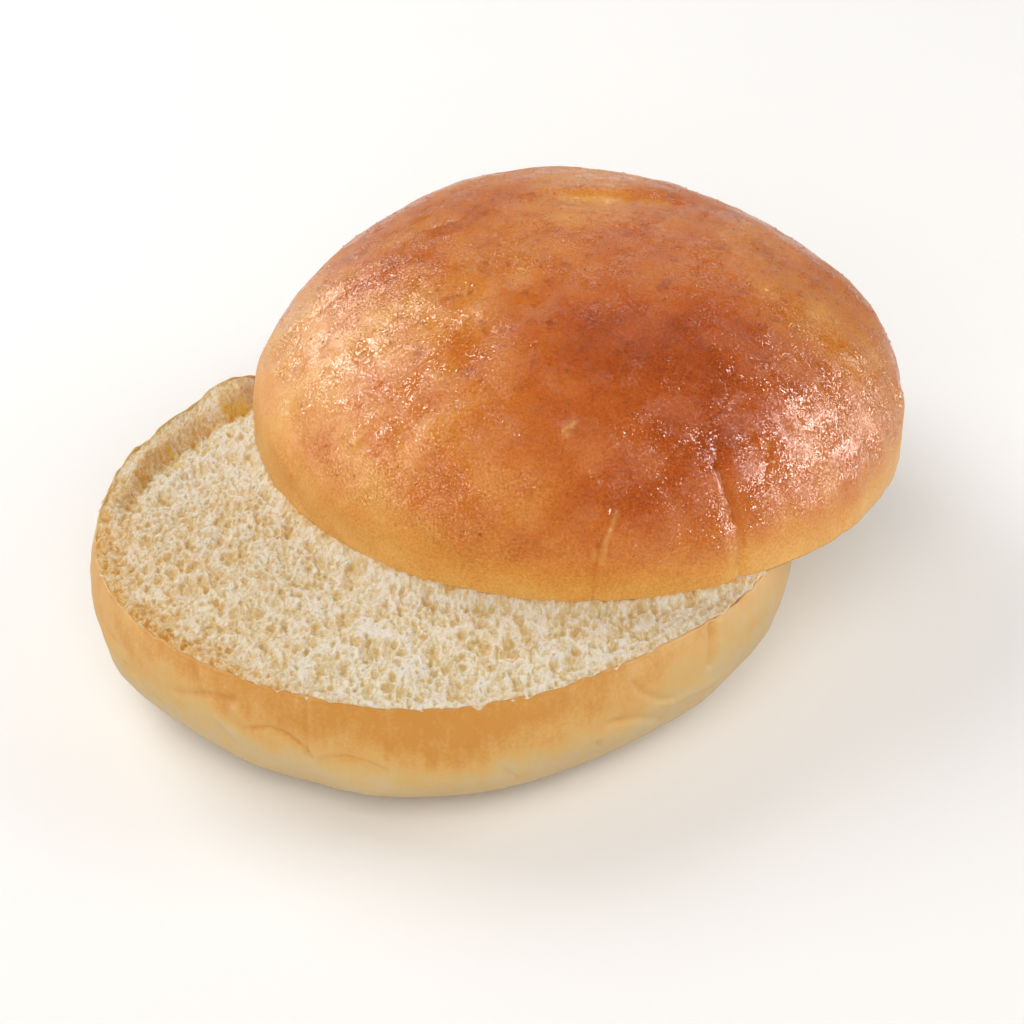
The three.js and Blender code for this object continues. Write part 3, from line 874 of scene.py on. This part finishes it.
def crumb_tree():
    """Opens bubbles of four sizes in a crumb face and fluffs up the walls between them."""
    sockets = [("Facing", "Float", 1.0), ("Seed", "Float", 0.0), ("Fluff", "Float", 0.3 * MM)]
    sockets += [("Fluff length", "Float", 0.9 * MM), ("Warp", "Float", 0.8 * MM)]
    for layer, _, _ in BUBBLE_LAYERS:
        sockets += [(f"{layer} bubble", "Float", MM), (f"{layer} depth", "Float", 0.5 * MM)]
    tree, given = new_geometry_tree("Crumb bubbles", sockets)
    fine, opened, coarse, shred, pore = (
        add(tree, "GeometryNodeInputNamedAttribute", {"Name": name}, data_type="FLOAT")
        for name in ("fine", "open", "coarse", "shred", "pore")
    )
    here = add(tree, "GeometryNodeInputPosition")
    seeded = add(tree, "ShaderNodeCombineXYZ", {"Z": given["Seed"]})
    flat = add(tree, "ShaderNodeVectorMath", {0: here, 1: BUBBLE_PULL}, operation="MULTIPLY")
    place = add(tree, "ShaderNodeVectorMath", {0: flat, 1: seeded}, operation="ADD")

    def shaken(scale, roughness, reach):
        """Each point's own small move, from a noise that is centred on none."""
        noise = add(
            tree, "ShaderNodeTexNoise",
            {"Vector": place, "Scale": scale, "Detail": 3.0, "Roughness": roughness},
        )
        centred = add(
            tree, "ShaderNodeVectorMath", {0: noise.outputs["Color"], 1: (0.5, 0.5, 0.5)},
            operation="SUBTRACT",
        )
        return add(tree, "ShaderNodeVectorMath", {0: centred, "Scale": reach}, operation="SCALE")

    warped = shaken(1 / (BUBBLE_BEND * MM), 0.5, given["Warp"])
    place = add(tree, "ShaderNodeVectorMath", {0: place, 1: warped}, operation="ADD")
    total = pit_shade = 0.0
    for number, (layer, fullest, shade_share) in enumerate(BUBBLE_LAYERS, 1):
        cell, depth = given[f"{layer} bubble"], given[f"{layer} depth"]
        deep = bubble_layer(tree, place, cell, depth, fullest, LAYER_SHIFT * number)
        for share in (opened, coarse) if layer in ("Large", "Medium") else (fine,):
            deep = add(tree, "ShaderNodeMath", {0: deep, 1: share}, operation="MULTIPLY")
        pit_shade = add(
            tree, "ShaderNodeMath", {0: deep, 1: shade_share, 2: pit_shade}, operation="MULTIPLY_ADD"
        )
        total = add(tree, "ShaderNodeMath", {0: total, 1: deep}, operation="ADD")
    rate = add(tree, "ShaderNodeMath", {0: 1.0, 1: given["Fluff length"]}, operation="DIVIDE")
    tall = add(tree, "ShaderNodeMath", {0: given["Fluff"], 1: fine}, operation="MULTIPLY")
    fluff = shaken(rate, 0.6, tall)
    down = add(tree, "ShaderNodeMath", {0: total, 1: given["Facing"]}, operation="MULTIPLY")
    down = add(tree, "ShaderNodeMath", {0: down, 1: -1.0}, operation="MULTIPLY")
    sunk = add(tree, "ShaderNodeCombineXYZ", {"Z": down})
    offset = add(tree, "ShaderNodeVectorMath", {0: sunk, 1: fluff}, operation="ADD")
    kept = add(tree, "GeometryNodeSetPosition", {"Geometry": given["Geometry"], "Offset": offset})
    # Shreds stand only on the walls between the bubbles.
    wall = add(
        tree, "ShaderNodeMapRange",
        {"Value": pore, "From Min": 0.15 * MM, "From Max": 0.5 * MM, "To Min": 1.0, "To Max": 0.0},
    )
    torn = add(tree, "ShaderNodeMath", {0: shred, 1: wall}, operation="MULTIPLY")
    # The pits' painted shade, set by their depth, is kept for the crumb's colour.
    for name, value in (("pore", pit_shade), ("shred", torn)):
        kept = add(
            tree, "GeometryNodeStoreNamedAttribute",
            {"Geometry": kept, "Name": name, "Value": value}, data_type="FLOAT", domain="POINT",
        )
    return closed_tree(tree, given, kept)


def scatter_tree(name, value_name):
    """Scatters small lumps over a surface, thick where the named value is high."""
    sockets = [
        ("Number a square metre", "Float", 1e5),
        ("Smallest", "Float", 0.2 * MM),
        ("Largest", "Float", 0.5 * MM),
        ("Stretch", "Vector", (1, 1, 1)),
        ("Lean", "Float", 0.4),
        ("Seed", "Int", 1),
    ]
    tree, given = new_geometry_tree(name, sockets)
    where = add(tree, "GeometryNodeInputNamedAttribute", {"Name": value_name}, data_type="FLOAT")
    density = add(
        tree, "ShaderNodeMath", {0: where, 1: given["Number a square metre"]}, operation="MULTIPLY"
    )
    spread = add(
        tree, "GeometryNodeDistributePointsOnFaces",
        {"Mesh": given["Geometry"], "Density": density, "Seed": given["Seed"]},
        distribute_method="RANDOM",
    )
    lump = add(tree, "GeometryNodeMeshIcoSphere", {"Radius": 1.0, "Subdivisions": 1})
    lump = add(tree, "GeometryNodeSetShadeSmooth", {"Geometry": lump, "Shade Smooth": True})
    size = add(
        tree, "FunctionNodeRandomValue",
        {2: given["Smallest"], 3: given["Largest"], "Seed": given["Seed"]}, data_type="FLOAT",
    )
    scale = add(
        tree, "ShaderNodeVectorMath", {0: given["Stretch"], "Scale": size.outputs[1]},
        operation="SCALE",
    )
    tilt = add(
        tree, "FunctionNodeRandomValue",
        {"Min": (-1, -1, -np.pi), "Max": (1, 1, np.pi), "Seed": given["Seed"]},
        data_type="FLOAT_VECTOR",
    )
    lean = add(tree, "ShaderNodeCombineXYZ", {"X": given["Lean"], "Y": given["Lean"], "Z": 1.0})
    leaned = add(tree, "ShaderNodeVectorMath", {0: tilt, 1: lean}, operation="MULTIPLY")
    turned = add(tree, "FunctionNodeEulerToRotation", {"Euler": leaned})
    settled = add(
        tree, "FunctionNodeRotateRotation",
        {"Rotation": spread.outputs["Rotation"], "Rotate By": turned}, rotation_space="LOCAL",
    )
    placed = add(
        tree, "GeometryNodeInstanceOnPoints",
        {"Points": spread, "Instance": lump, "Rotation": settled, "Scale": scale},
    )
    return closed_tree(tree, given, placed)


# Materials.

MIX_FACTOR, MIX_A, MIX_B, MIX_RESULT = 0, 6, 7, 2


def new_material(name):
    """An empty material's node tree, and the place on the piece that its patterns follow."""
    material = bpy.data.materials.new(name)
    material.use_nodes = True
    tree = material.node_tree
    tree.nodes.clear()
    return material, tree, add(tree, "ShaderNodeTexCoord").outputs["Object"]


def shaded(material, inputs):
    """Gives a material its Principled shader with these inputs."""
    shader = add(material.node_tree, "ShaderNodeBsdfPrincipled", inputs)
    add(material.node_tree, "ShaderNodeOutputMaterial", {"Surface": shader})
    return material


def colour_by_stops(tree, amount, stops):
    """A colour through (amount, linear RGB) stops: that of dough by how far it is baked, that of the
    crumb by the painted shade in its pits, and the floor's faint cloud.
    """
    ramp = add(tree, "ShaderNodeValToRGB", {"Fac": amount})
    while len(ramp.color_ramp.elements) < len(stops):
        ramp.color_ramp.elements.new(0.5)
    for element, (place, colour) in zip(ramp.color_ramp.elements, stops):
        element.position = place
        element.color = (*colour, 1.0)
    return ramp


def mottled(tree, value, patterns):
    """A value with (noise, amount) patterns added, each centred so that the mean stays."""
    total = -0.5 * sum(amount for _, amount in patterns)
    for pattern, amount in ((value, 1.0), *patterns):
        total = add(
            tree, "ShaderNodeMath", {0: pattern, 1: amount, 2: total}, operation="MULTIPLY_ADD"
        )
    return total


def overlaid(tree, base, layers):
    """A colour with (amount, blend type, linear RGB) layers laid over it in turn."""
    for amount, blend, colour in layers:
        base = add(
            tree, "ShaderNodeMix", {MIX_FACTOR: amount, MIX_A: base, MIX_B: (*colour, 1.0)},
            data_type="RGBA", blend_type=blend,
        ).outputs[MIX_RESULT]
    return base


def crumb_material(colours):
    """White wheat crumb, cut and torn: matt, soft and faintly see-through, cream, with painted shade
    in its tan pits.
    """
    material, tree, place = new_material("White_wheat_crumb_cut")
    toast, yellow, pore = (
        add(tree, "ShaderNodeAttribute", attribute_name=name).outputs["Fac"]
        for name in ("toast", "yellow", "pore")
    )
    swirl = 2.2 * MM
    bend = add(tree, "ShaderNodeTexNoise", {"Vector": place, "Scale": 1 / swirl})
    swirled = add(
        tree, "ShaderNodeVectorMath",
        {0: bend.outputs["Color"], 1: (swirl, swirl, swirl), 2: place}, operation="MULTIPLY_ADD",
    )
    # The fibres are pulled out along Y and Z, the way the dough was rolled.
    pulled = add(tree, "ShaderNodeVectorMath", {0: swirled, 1: (1.0, 0.4, 0.4)}, operation="MULTIPLY")
    fibre, grain, cloud = (
        add(
            tree, "ShaderNodeTexNoise",
            {"Vector": where, "Scale": 1 / (size * MM), "Detail": detail, "Roughness": roughness},
        )
        for where, size, detail, roughness in (
            (pulled, 0.42, 3.0, 0.6), (place, 0.55, 3.0, 0.65), (place, 4.5, 2.0, 0.5)
        )
    )
    # How much painted shade a spot gets as the bottom of a pit: by its depth, fibre, grain and
    # toasting.
    depth = add(
        tree, "ShaderNodeMapRange", {"Value": pore, "From Min": 0.12 * MM, "From Max": 0.6 * MM},
        clamp=False,
    )
    for pattern, amount in ((fibre, -2.3), (cloud, 1.2), (toast, 0.3), (grain, 1.0)):
        depth = add(
            tree, "ShaderNodeMath", {0: pattern, 1: amount, 2: depth}, operation="MULTIPLY_ADD"
        )
    depth = add(tree, "ShaderNodeMapRange", {"Value": depth, "From Min": -0.4, "From Max": 0.85})
    base = colour_by_stops(
        tree, depth, ((0.0, colours.crumb), (0.45, colours.crumb_shade), (1.0, colours.crumb_pit_shade))
    )
    spread = add(tree, "ShaderNodeMapRange", {"Value": depth, "To Min": 0.4, "To Max": 1.0})
    # The toast tint, which also holds the painted contact shadow beside the top half's rim, is
    # stronger in the pits.
    warmth = add(tree, "ShaderNodeMath", {0: toast, 1: spread}, operation="MULTIPLY")
    layers = ((warmth, "MULTIPLY", colours.crumb_toast_and_shadow), (yellow, "MIX", colours.crumb_yellow))
    relief = add(tree, "ShaderNodeMath", {0: fibre, 1: grain}, operation="ADD")
    return shaded(material, {
        "Base Color": overlaid(tree, base, layers),
        "Roughness": 0.95,
        "Specular IOR Level": 0.2,
        "Subsurface Weight": 0.7,
        "Subsurface Radius": (1.0, 0.65, 0.36),
        "Subsurface Scale": MM,
        "Normal": add(
            tree, "ShaderNodeBump", {"Strength": 0.75, "Distance": 0.3 * MM, "Height": relief}
        ),
    })


def pale_crust_material(colours):
    """Soft unglazed crust of a roll's side: satin-matt, golden under the cut and cream below."""
    material, tree, place = new_material("Soft_unglazed_crust_matt")
    bake = add(tree, "ShaderNodeAttribute", attribute_name="bake").outputs["Fac"]
    # The side stretched upwards as it rose, so its marks are drawn out upright.
    upright = add(tree, "ShaderNodeVectorMath", {0: place, 1: (1.0, 1.0, 0.2)}, operation="MULTIPLY")
    cloud, grain, marks, pucker = (
        add(
            tree, "ShaderNodeTexNoise",
            {"Vector": where, "Scale": 1 / (size * MM), "Detail": detail, "Roughness": roughness},
        )
        for where, size, detail, roughness in (
            (place, 5.5, 4.0, 0.55), (place, 0.6, 3.0, 0.65), (upright, 1.1, 3.0, 0.6),
            (place, 1.8, 3.0, 0.5),
        )
    )
    base = colour_by_stops(
        tree, mottled(tree, bake, ((cloud, 0.5), (marks, 0.4), (grain, 0.55))),
        ((0.0, colours.side_cream), (0.28, colours.side_straw),
         (0.62, colours.side_gold), (1.0, colours.side_brown)),
    )
    relief = add(tree, "ShaderNodeMath", {0: pucker, 1: 1.6, 2: grain}, operation="MULTIPLY_ADD")
    return shaded(material, {
        "Base Color": base,
        "Roughness": 0.62,
        "Specular IOR Level": 0.35,
        "Normal": add(
            tree, "ShaderNodeBump", {"Strength": 0.35, "Distance": 0.2 * MM, "Height": relief}
        ),
    })


def glaze_facets(tree, place, grain):
    """The small flat facets of the dried wash, each with a tilt of its own, that glint in turn."""
    facets = add(tree, "ShaderNodeTexVoronoi", {"Vector": place, "Scale": 1 / grain})
    tilt = add(
        tree, "ShaderNodeVectorMath", {0: facets.outputs["Color"], 1: (0.5, 0.5, 0.5)},
        operation="SUBTRACT",
    )
    across = add(
        tree, "ShaderNodeVectorMath", {0: place, 1: facets.outputs["Position"]},
        operation="SUBTRACT",
    )
    slope = add(tree, "ShaderNodeVectorMath", {0: across, 1: tilt}, operation="DOT_PRODUCT")
    return slope.outputs["Value"]


def crust_specks(tree, place, glaze):
    """Freckles in the glaze: a small dot in the middle of one cell in five."""
    cells = add(tree, "ShaderNodeTexVoronoi", {"Vector": place, "Scale": 1 / (3.4 * MM)})
    dot = add(
        tree, "ShaderNodeMapRange",
        {"Value": cells, "From Min": 0.05, "From Max": 0.14, "To Min": 0.6, "To Max": 0.0},
    )
    chosen = add(tree, "ShaderNodeSeparateColor", {"Color": cells.outputs["Color"]})
    some = add(tree, "ShaderNodeMath", {0: chosen, 1: 0.8}, operation="GREATER_THAN")
    for share in (some, glaze):
        dot = add(tree, "ShaderNodeMath", {0: dot, 1: share}, operation="MULTIPLY")
    return dot


def glazed_crust_material(colours, sizes):
    """Egg-washed crust: thin, dried to a fine-grained satin gloss that sparkles under soft light."""
    material, tree, place = new_material("Egg_washed_crust_satin")
    glaze, bake, streaked, pale = (
        add(tree, "ShaderNodeAttribute", attribute_name=name).outputs["Fac"]
        for name in ("glaze", "bake", "streak", "pale")
    )
    cloud, fleck, patch, streak = (
        add(
            tree, "ShaderNodeTexNoise",
            {"Vector": place, "Scale": 1 / (size * MM), "Detail": detail, "Roughness": roughness},
        )
        for size, detail, roughness in (
            (6.5, 5.0, 0.6), (0.45, 3.0, 0.65), (4.0, 2.0, 0.5), (2.6, 4.0, 0.7)
        )
    )
    base = colour_by_stops(
        tree, mottled(tree, bake, ((cloud, 0.26), (fleck, 0.8))),
        ((0.0, colours.crown_straw), (0.22, colours.crown_gold), (0.45, colours.crown_orange),
         (0.72, colours.crown_brown), (1.0, colours.crown_deep)),
    )
    streak = add(
        tree, "ShaderNodeMapRange",
        {"Value": streak, "From Min": 0.56, "From Max": 0.68, "To Max": 0.5},
    )
    streak = add(tree, "ShaderNodeMath", {0: streak, 1: streaked}, operation="MULTIPLY")
    dark = add(
        tree, "ShaderNodeMath", {0: crust_specks(tree, place, glaze), 1: streak},
        operation="MAXIMUM",
    )
    layers = ((dark, "MIX", colours.crown_speck), (pale, "MIX", colours.crown_torn))
    # The gloss is worn in clouds, and the facets sparkle more in some patches.
    worn = add(
        tree, "ShaderNodeMapRange",
        {"Value": cloud, "From Min": 0.44, "From Max": 0.54, "To Min": 0.25},
    )
    coated = add(tree, "ShaderNodeMath", {0: glaze, 1: worn}, operation="MULTIPLY")
    sparkle = add(
        tree, "ShaderNodeMapRange",
        {"Value": patch, "From Min": 0.4, "From Max": 0.6, "To Min": 0.35 / MM,
         "To Max": 0.85 / MM},
    )
    facet = add(
        tree, "ShaderNodeMath", {0: glaze_facets(tree, place, sizes.glaze_grain), 1: sparkle},
        operation="MULTIPLY",
    )
    height = add(tree, "ShaderNodeMath", {0: fleck, 1: 0.09, 2: facet}, operation="MULTIPLY_ADD")
    strength = add(tree, "ShaderNodeMapRange", {"Value": glaze, "To Min": 0.3, "To Max": 0.9})
    return shaded(material, {
        "Base Color": overlaid(tree, base, layers),
        "Roughness": add(
            tree, "ShaderNodeMapRange", {"Value": coated, "To Min": 0.5, "To Max": 0.2}
        ),
        "Specular IOR Level": 0.45,
        "Normal": add(
            tree, "ShaderNodeBump", {"Strength": strength, "Distance": MM, "Height": height}
        ),
    })


def floor_material(colours):
    """Matt white table laminate, plain, with the faintest cloud in it."""
    material, tree, place = new_material("White_table_laminate_matt")
    cloud = add(tree, "ShaderNodeTexNoise", {"Vector": place, "Scale": 3.0, "Detail": 2.0})
    dim = tuple(c * 0.985 for c in colours.floor)
    base = colour_by_stops(tree, cloud, ((0.3, dim), (0.7, colours.floor)))
    return shaded(material, {"Base Color": base, "Roughness": 0.8, "Specular IOR Level": 0.2})


# What a user can change.


def length(name, description, millimetres):
    return FloatProperty(
        name=name, description=description, default=millimetres * MM, min=0.0, unit="LENGTH",
        precision=5,
    )


def depth(name, millimetres):
    return length(name, "Depth of a bubble as wide as that spacing", millimetres)


def number(name, description, default):
    return IntProperty(name=name, description=description, default=default, min=0)


def colour(name, description, hex_colour):
    return FloatVectorProperty(
        name=name, description=description, default=linear(hex_colour), size=3, min=0.0, max=1.0,
        subtype="COLOR",
    )


def light(name, description, strength, unit="POWER"):
    return FloatProperty(
        name=name, description=description, default=strength, min=0.0, unit=unit
    )


class RollCrumbSizes(bpy.types.PropertyGroup):
    """The bubbles of the crumb, by the spacing of each size and how deep they are cut."""

    large_bubble: length("Large bubbles", "Spacing of the largest bubbles", 4.4)
    large_depth: depth("Large depth", 1.7)
    medium_bubble: length("Medium bubbles", "Spacing of the medium bubbles", 2.2)
    medium_depth: depth("Medium depth", 0.95)
    small_bubble: length("Small bubbles", "Spacing of the small bubbles", 1.25)
    small_depth: depth("Small depth", 0.62)
    tiny_bubble: length("Tiny bubbles", "Spacing of the smallest bubbles", 0.75)
    tiny_depth: depth("Tiny depth", 0.34)
    fluff: length("Fluff", "How far the torn walls between bubbles are pulled about", 0.9)
    fluff_length: length("Fluff length", "Size of the torn shreds", 0.95)
    warp: length("Warp", "How far bubbles are pulled out of round", 2.0)
    seed: number("Seed", "Picks another spread of bubbles", 3)
    loose_smallest: length("Smallest crumb", "Radius of the smallest loose crumb", 0.12)
    loose_largest: length("Largest crumb", "Radius of the largest loose crumb", 0.34)
    loose: number("Loose crumbs", "Loose crumbs a square metre", 260000)


class RollCrustSizes(bpy.types.PropertyGroup):
    """The grain and the dried beads of the egg wash on the top half."""

    glaze_grain: length("Glaze grain", "Size of the facets of the dried egg wash", 0.27)
    bead_smallest: length("Smallest bead", "Radius of the smallest dried bead", 0.12)
    bead_largest: length("Largest bead", "Radius of the largest dried bead", 0.3)
    beads: number("Beads", "Dried beads a square metre", 40000)


class RollColours(bpy.types.PropertyGroup):
    """The colours of crumb and crust."""

    crumb: colour("Crumb", "Torn walls of the crumb", "#E2DACA")
    # Crumb shade and the pit colour are painted shade, laid in by the depth of the bubbles.
    crumb_shade: colour("Crumb shade", "Between the walls and the pits", "#D8C49C")
    crumb_pit_shade: colour("Crumb pit", "Bottoms of the bubbles", "#CDAD74")
    # This tint is also laid beside the top half's rim as painted contact shadow.
    crumb_toast_and_shadow: colour("Crumb toast", "Tint of the crumb beside the crust", "#F5CA80")
    crumb_yellow: colour("Crumb yellow", "Spots on the slope of the torn lip", "#DDB23E")
    side_cream: colour("Side cream", "Palest crust, low on the bottom half", "#CCB284")
    side_straw: colour("Side straw", "Pale crust above it", "#D1AD6D")
    side_gold: colour("Side gold", "Golden band under the cut", "#D6A35A")
    side_brown: colour("Side brown", "Darkest of that band", "#CA8B3A")
    crown_straw: colour("Crown straw", "Palest crust at the rim of the top half", "#E7B35F")
    crown_gold: colour("Crown gold", "Golden crust above the rim", "#DF9740")
    crown_orange: colour("Crown orange", "Orange-brown crust", "#CD7226")
    crown_brown: colour("Crown brown", "Brown crust", "#B65216")
    crown_deep: colour("Crown deep", "Deepest brown, at the front right", "#86310C")
    crown_speck: colour("Crown speck", "Small dark specks in the glaze", "#7E2F16")
    crown_torn: colour("Crown torn", "Inside of cracks in the glazed crust", "#E8B35A")
    floor: colour("Floor", "Table top", "#F6F5F3")


class RollStageSettings(bpy.types.PropertyGroup):
    """The floor, lights and camera."""

    floor_size: length("Floor", "Side of the floor", 8000.0)
    sky: light("Room light", "Strength of the room's light at the horizon", 0.31, "NONE")
    sky_top: light("Room light overhead", "Strength of the room's light overhead", 0.24, "NONE")
    key: light("Left box", "Power of the soft box at the back left", 2.6)
    side: light("Right box", "Power of the soft box on the right", 1.35)
    back: light("Back strip", "Power of the low strip behind", 0.7)
    fill: light("Front fill", "Power of the large fill in front", 18.0)
    left_glint: light("Left glint", "Power of the left reflection in the glaze", 3.5)
    right_glint: light("Right glint", "Power of the right reflection in the glaze", 6.4)
    low_glint: light("Low glint", "Power of the broad reflection low on the left", 3.0)
    lens: FloatProperty(
        name="Lens", description="Focal length on a 36 mm sensor, in mm", default=87.3, min=10.0
    )


# The photograph's camera: level, in front of the roll, looking down at it.
CAMERA_TARGET = Vector((11.516, 12.0, 16.632)) * MM
CAMERA_DOWN = 36.289
CAMERA_AWAY = 440.0 * MM
SENSOR = 36.0

# Soft boxes: (setting, name, degrees round, degrees up, distance in m, width, height), seen from
# the crown.
CROWN_MIDDLE = Vector(CROWN_PLACE + (0, 0, 10)) * MM
SOFT_BOXES = (
    ("key", "Left_box", 151, 42, 0.70, 0.50, 0.45),
    ("side", "Right_box", 2, 30, 0.70, 0.40, 0.40),
    ("back", "Back_strip", 78, 17, 0.80, 0.50, 0.12),
    ("fill", "Front_fill", -97, 42, 1.60, 1.50, 1.50),
    ("left_glint", "Left_glint", 145, 27, 0.62, 0.22, 0.20),
    ("right_glint", "Right_glint", -4, 16, 0.60, 0.18, 0.36),
    ("low_glint", "Low_left_glint", -165, 16, 0.70, 0.45, 0.30),
)
# The large boxes give even light without a reflection in the glaze, and the glints only that.
NO_REFLECTION = ("key", "side", "fill")
ONLY_REFLECTION = ("left_glint", "right_glint", "low_glint")
BOX_COLOUR = (1.0, 0.985, 0.97)
SKY_COLOUR = (1.0, 0.995, 0.99, 1.0)


def add_floor(scene):
    half = scene.roll_stage.floor_size / 2
    mesh = bpy.data.meshes.new("floor")
    corners = [(-half, -half, 0), (half, -half, 0), (half, half, 0), (-half, half, 0)]
    mesh.from_pydata(corners, [], [(0, 1, 2, 3)])
    mesh.materials.append(floor_material(scene.roll_colours))
    floor = bpy.data.objects.new("floor", mesh)
    scene.collection.objects.link(floor)


def light_room(scene):
    """The even light of the room, a little weaker from overhead."""
    settings = scene.roll_stage
    world = bpy.data.worlds.new("Room")
    world.use_nodes = True
    room = world.node_tree
    around = add(room, "ShaderNodeTexCoord").outputs["Generated"]
    height = add(room, "ShaderNodeSeparateXYZ", {0: around}).outputs["Z"]
    level = add(
        room, "ShaderNodeMapRange",
        {"Value": height, "To Min": settings.sky, "To Max": settings.sky_top},
    )
    sky = room.nodes["Background"]
    sky.inputs["Color"].default_value = SKY_COLOUR
    room.links.new(level.outputs[0], sky.inputs["Strength"])
    # The glaze reflects the boxes and the table, not the empty room.
    world.cycles_visibility.glossy = False
    scene.world = world


def add_soft_boxes(scene):
    for key, name, round_, up, away, width, height in SOFT_BOXES:
        lamp = bpy.data.lights.new(name, "AREA")
        lamp.shape = "RECTANGLE"
        lamp.size, lamp.size_y = width, height
        lamp.energy = getattr(scene.roll_stage, key)
        lamp.color = BOX_COLOUR
        box = bpy.data.objects.new(name, lamp)
        towards = Vector(direction(round_, up))
        box.location = CROWN_MIDDLE + towards * away
        box.rotation_euler = towards.to_track_quat("Z", "Y").to_euler()
        box.visible_camera = False
        box.visible_glossy = key not in NO_REFLECTION
        box.visible_diffuse = key not in ONLY_REFLECTION
        scene.collection.objects.link(box)


def add_camera(scene):
    lens = bpy.data.cameras.new("Camera")
    lens.lens = scene.roll_stage.lens
    lens.sensor_width = SENSOR
    lens.clip_start, lens.clip_end = 0.01, 50.0
    camera = bpy.data.objects.new("Camera", lens)
    away = Vector(direction(-90, CAMERA_DOWN))
    camera.location = CAMERA_TARGET + away * CAMERA_AWAY
    camera.rotation_euler = away.to_track_quat("Z", "Y").to_euler()
    scene.collection.objects.link(camera)
    scene.camera = camera
    scene.view_settings.view_transform = "Standard"


def crumb_settings(sizes, material, facing, seed):
    values = {"Fluff": sizes.fluff, "Fluff length": sizes.fluff_length, "Warp": sizes.warp}
    for layer, _, _ in BUBBLE_LAYERS:
        values[f"{layer} bubble"] = getattr(sizes, f"{layer.lower()}_bubble")
        values[f"{layer} depth"] = getattr(sizes, f"{layer.lower()}_depth")
    return values | {"Facing": facing, "Seed": seed, "Material": material}


def scattered(name, source, over, values):
    """A piece of small lumps on a finished piece, thick where one of its values is high."""
    piece = bpy.data.objects.new(name, source.data.copy())
    bpy.context.scene.collection.objects.link(piece)
    return applied(piece, scatter_tree(name, over), values)


class ROLL_OT_heel_crust(bpy.types.Operator):
    """Builds the crust of the bottom half, with its torn lip"""

    bl_idname = "roll.heel_crust"
    bl_label = "Bottom crust"

    def execute(self, context):
        piece = new_piece("heel_crust", *heel_crust_rings())
        piece.data.materials.append(pale_crust_material(context.scene.roll_colours))
        finished(piece, "heel")
        return {"FINISHED"}


class ROLL_OT_crumb(bpy.types.Operator):
    """Builds the open crumb of both halves"""

    bl_idname = "roll.crumb"
    bl_label = "Crumb"

    def execute(self, context):
        sizes = context.scene.roll_crumb
        material = crumb_material(context.scene.roll_colours)
        tree = crumb_tree()
        heel = new_piece("heel_crumb", *heel_crumb_rings())
        applied(heel, tree, crumb_settings(sizes, material, 1.0, 0.1 * sizes.seed))
        finished(heel, "heel")
        loose = scattered("loose_crumbs", heel, "shred", {
            "Number a square metre": float(sizes.loose),
            "Smallest": sizes.loose_smallest,
            "Largest": sizes.loose_largest,
            "Stretch": (1.0, 0.8, 0.7),
            "Lean": 0.8,
            "Seed": 5,
            "Material": material,
        })
        finished(loose, "heel")
        crown = new_piece("crown_crumb", *crown_crumb_rings())
        applied(crown, tree, crumb_settings(sizes, material, -1.0, 0.1 * sizes.seed + 0.05))
        finished(crown, "crown")
        return {"FINISHED"}


class ROLL_OT_crown_crust(bpy.types.Operator):
    """Builds the glazed crust of the top half, with its folds, creases and dried beads"""

    bl_idname = "roll.crown_crust"
    bl_label = "Top crust"

    def execute(self, context):
        sizes = context.scene.roll_crust
        material = glazed_crust_material(context.scene.roll_colours, sizes)
        crust = new_piece("crown_crust", *crown_crust_rings())
        crust.data.materials.append(material)
        finished(crust, "crown")
        beads = scattered("glaze_beads", crust, "glaze", {
            "Number a square metre": float(sizes.beads),
            "Smallest": sizes.bead_smallest,
            "Largest": sizes.bead_largest,
            "Stretch": (1.0, 1.0, 0.55),
            "Lean": 0.3,
            "Seed": 11,
            "Material": material,
        })
        finished(beads, "crown")
        return {"FINISHED"}


class ROLL_OT_stage(bpy.types.Operator):
    """Builds the floor, the soft boxes, the room light and the camera"""

    bl_idname = "roll.stage"
    bl_label = "Stage"

    def execute(self, context):
        add_floor(context.scene)
        light_room(context.scene)
        add_soft_boxes(context.scene)
        add_camera(context.scene)
        return {"FINISHED"}


class ROLL_PT_panel(bpy.types.Panel):
    """Lists the roll's pieces and what can be changed"""

    bl_idname = "ROLL_PT_panel"
    bl_label = "Bread roll"
    bl_space_type = "VIEW_3D"
    bl_region_type = "UI"
    bl_category = "Bread roll"

    def draw(self, context):
        for operator in OPERATORS:
            self.layout.operator(operator.bl_idname)
        for key, group in GROUPS.items():
            box = self.layout.box()
            for name in group.__annotations__:
                box.prop(getattr(context.scene, key), name)


OPERATORS = (ROLL_OT_stage, ROLL_OT_heel_crust, ROLL_OT_crumb, ROLL_OT_crown_crust)
GROUPS = {
    "roll_crumb": RollCrumbSizes,
    "roll_crust": RollCrustSizes,
    "roll_colours": RollColours,
    "roll_stage": RollStageSettings,
}


def register():
    for key, group in GROUPS.items():
        bpy.utils.register_class(group)
        setattr(bpy.types.Scene, key, PointerProperty(type=group))
    for operator in (*OPERATORS, ROLL_PT_panel):
        bpy.utils.register_class(operator)


def unregister():
    for operator in reversed((*OPERATORS, ROLL_PT_panel)):
        bpy.utils.unregister_class(operator)
    for key, group in GROUPS.items():
        delattr(bpy.types.Scene, key)
        bpy.utils.unregister_class(group)


def main():
    register()
    bpy.ops.roll.stage()
    bpy.ops.roll.heel_crust()
    bpy.ops.roll.crumb()
    bpy.ops.roll.crown_crust()


if __name__ == "__main__":
    main()
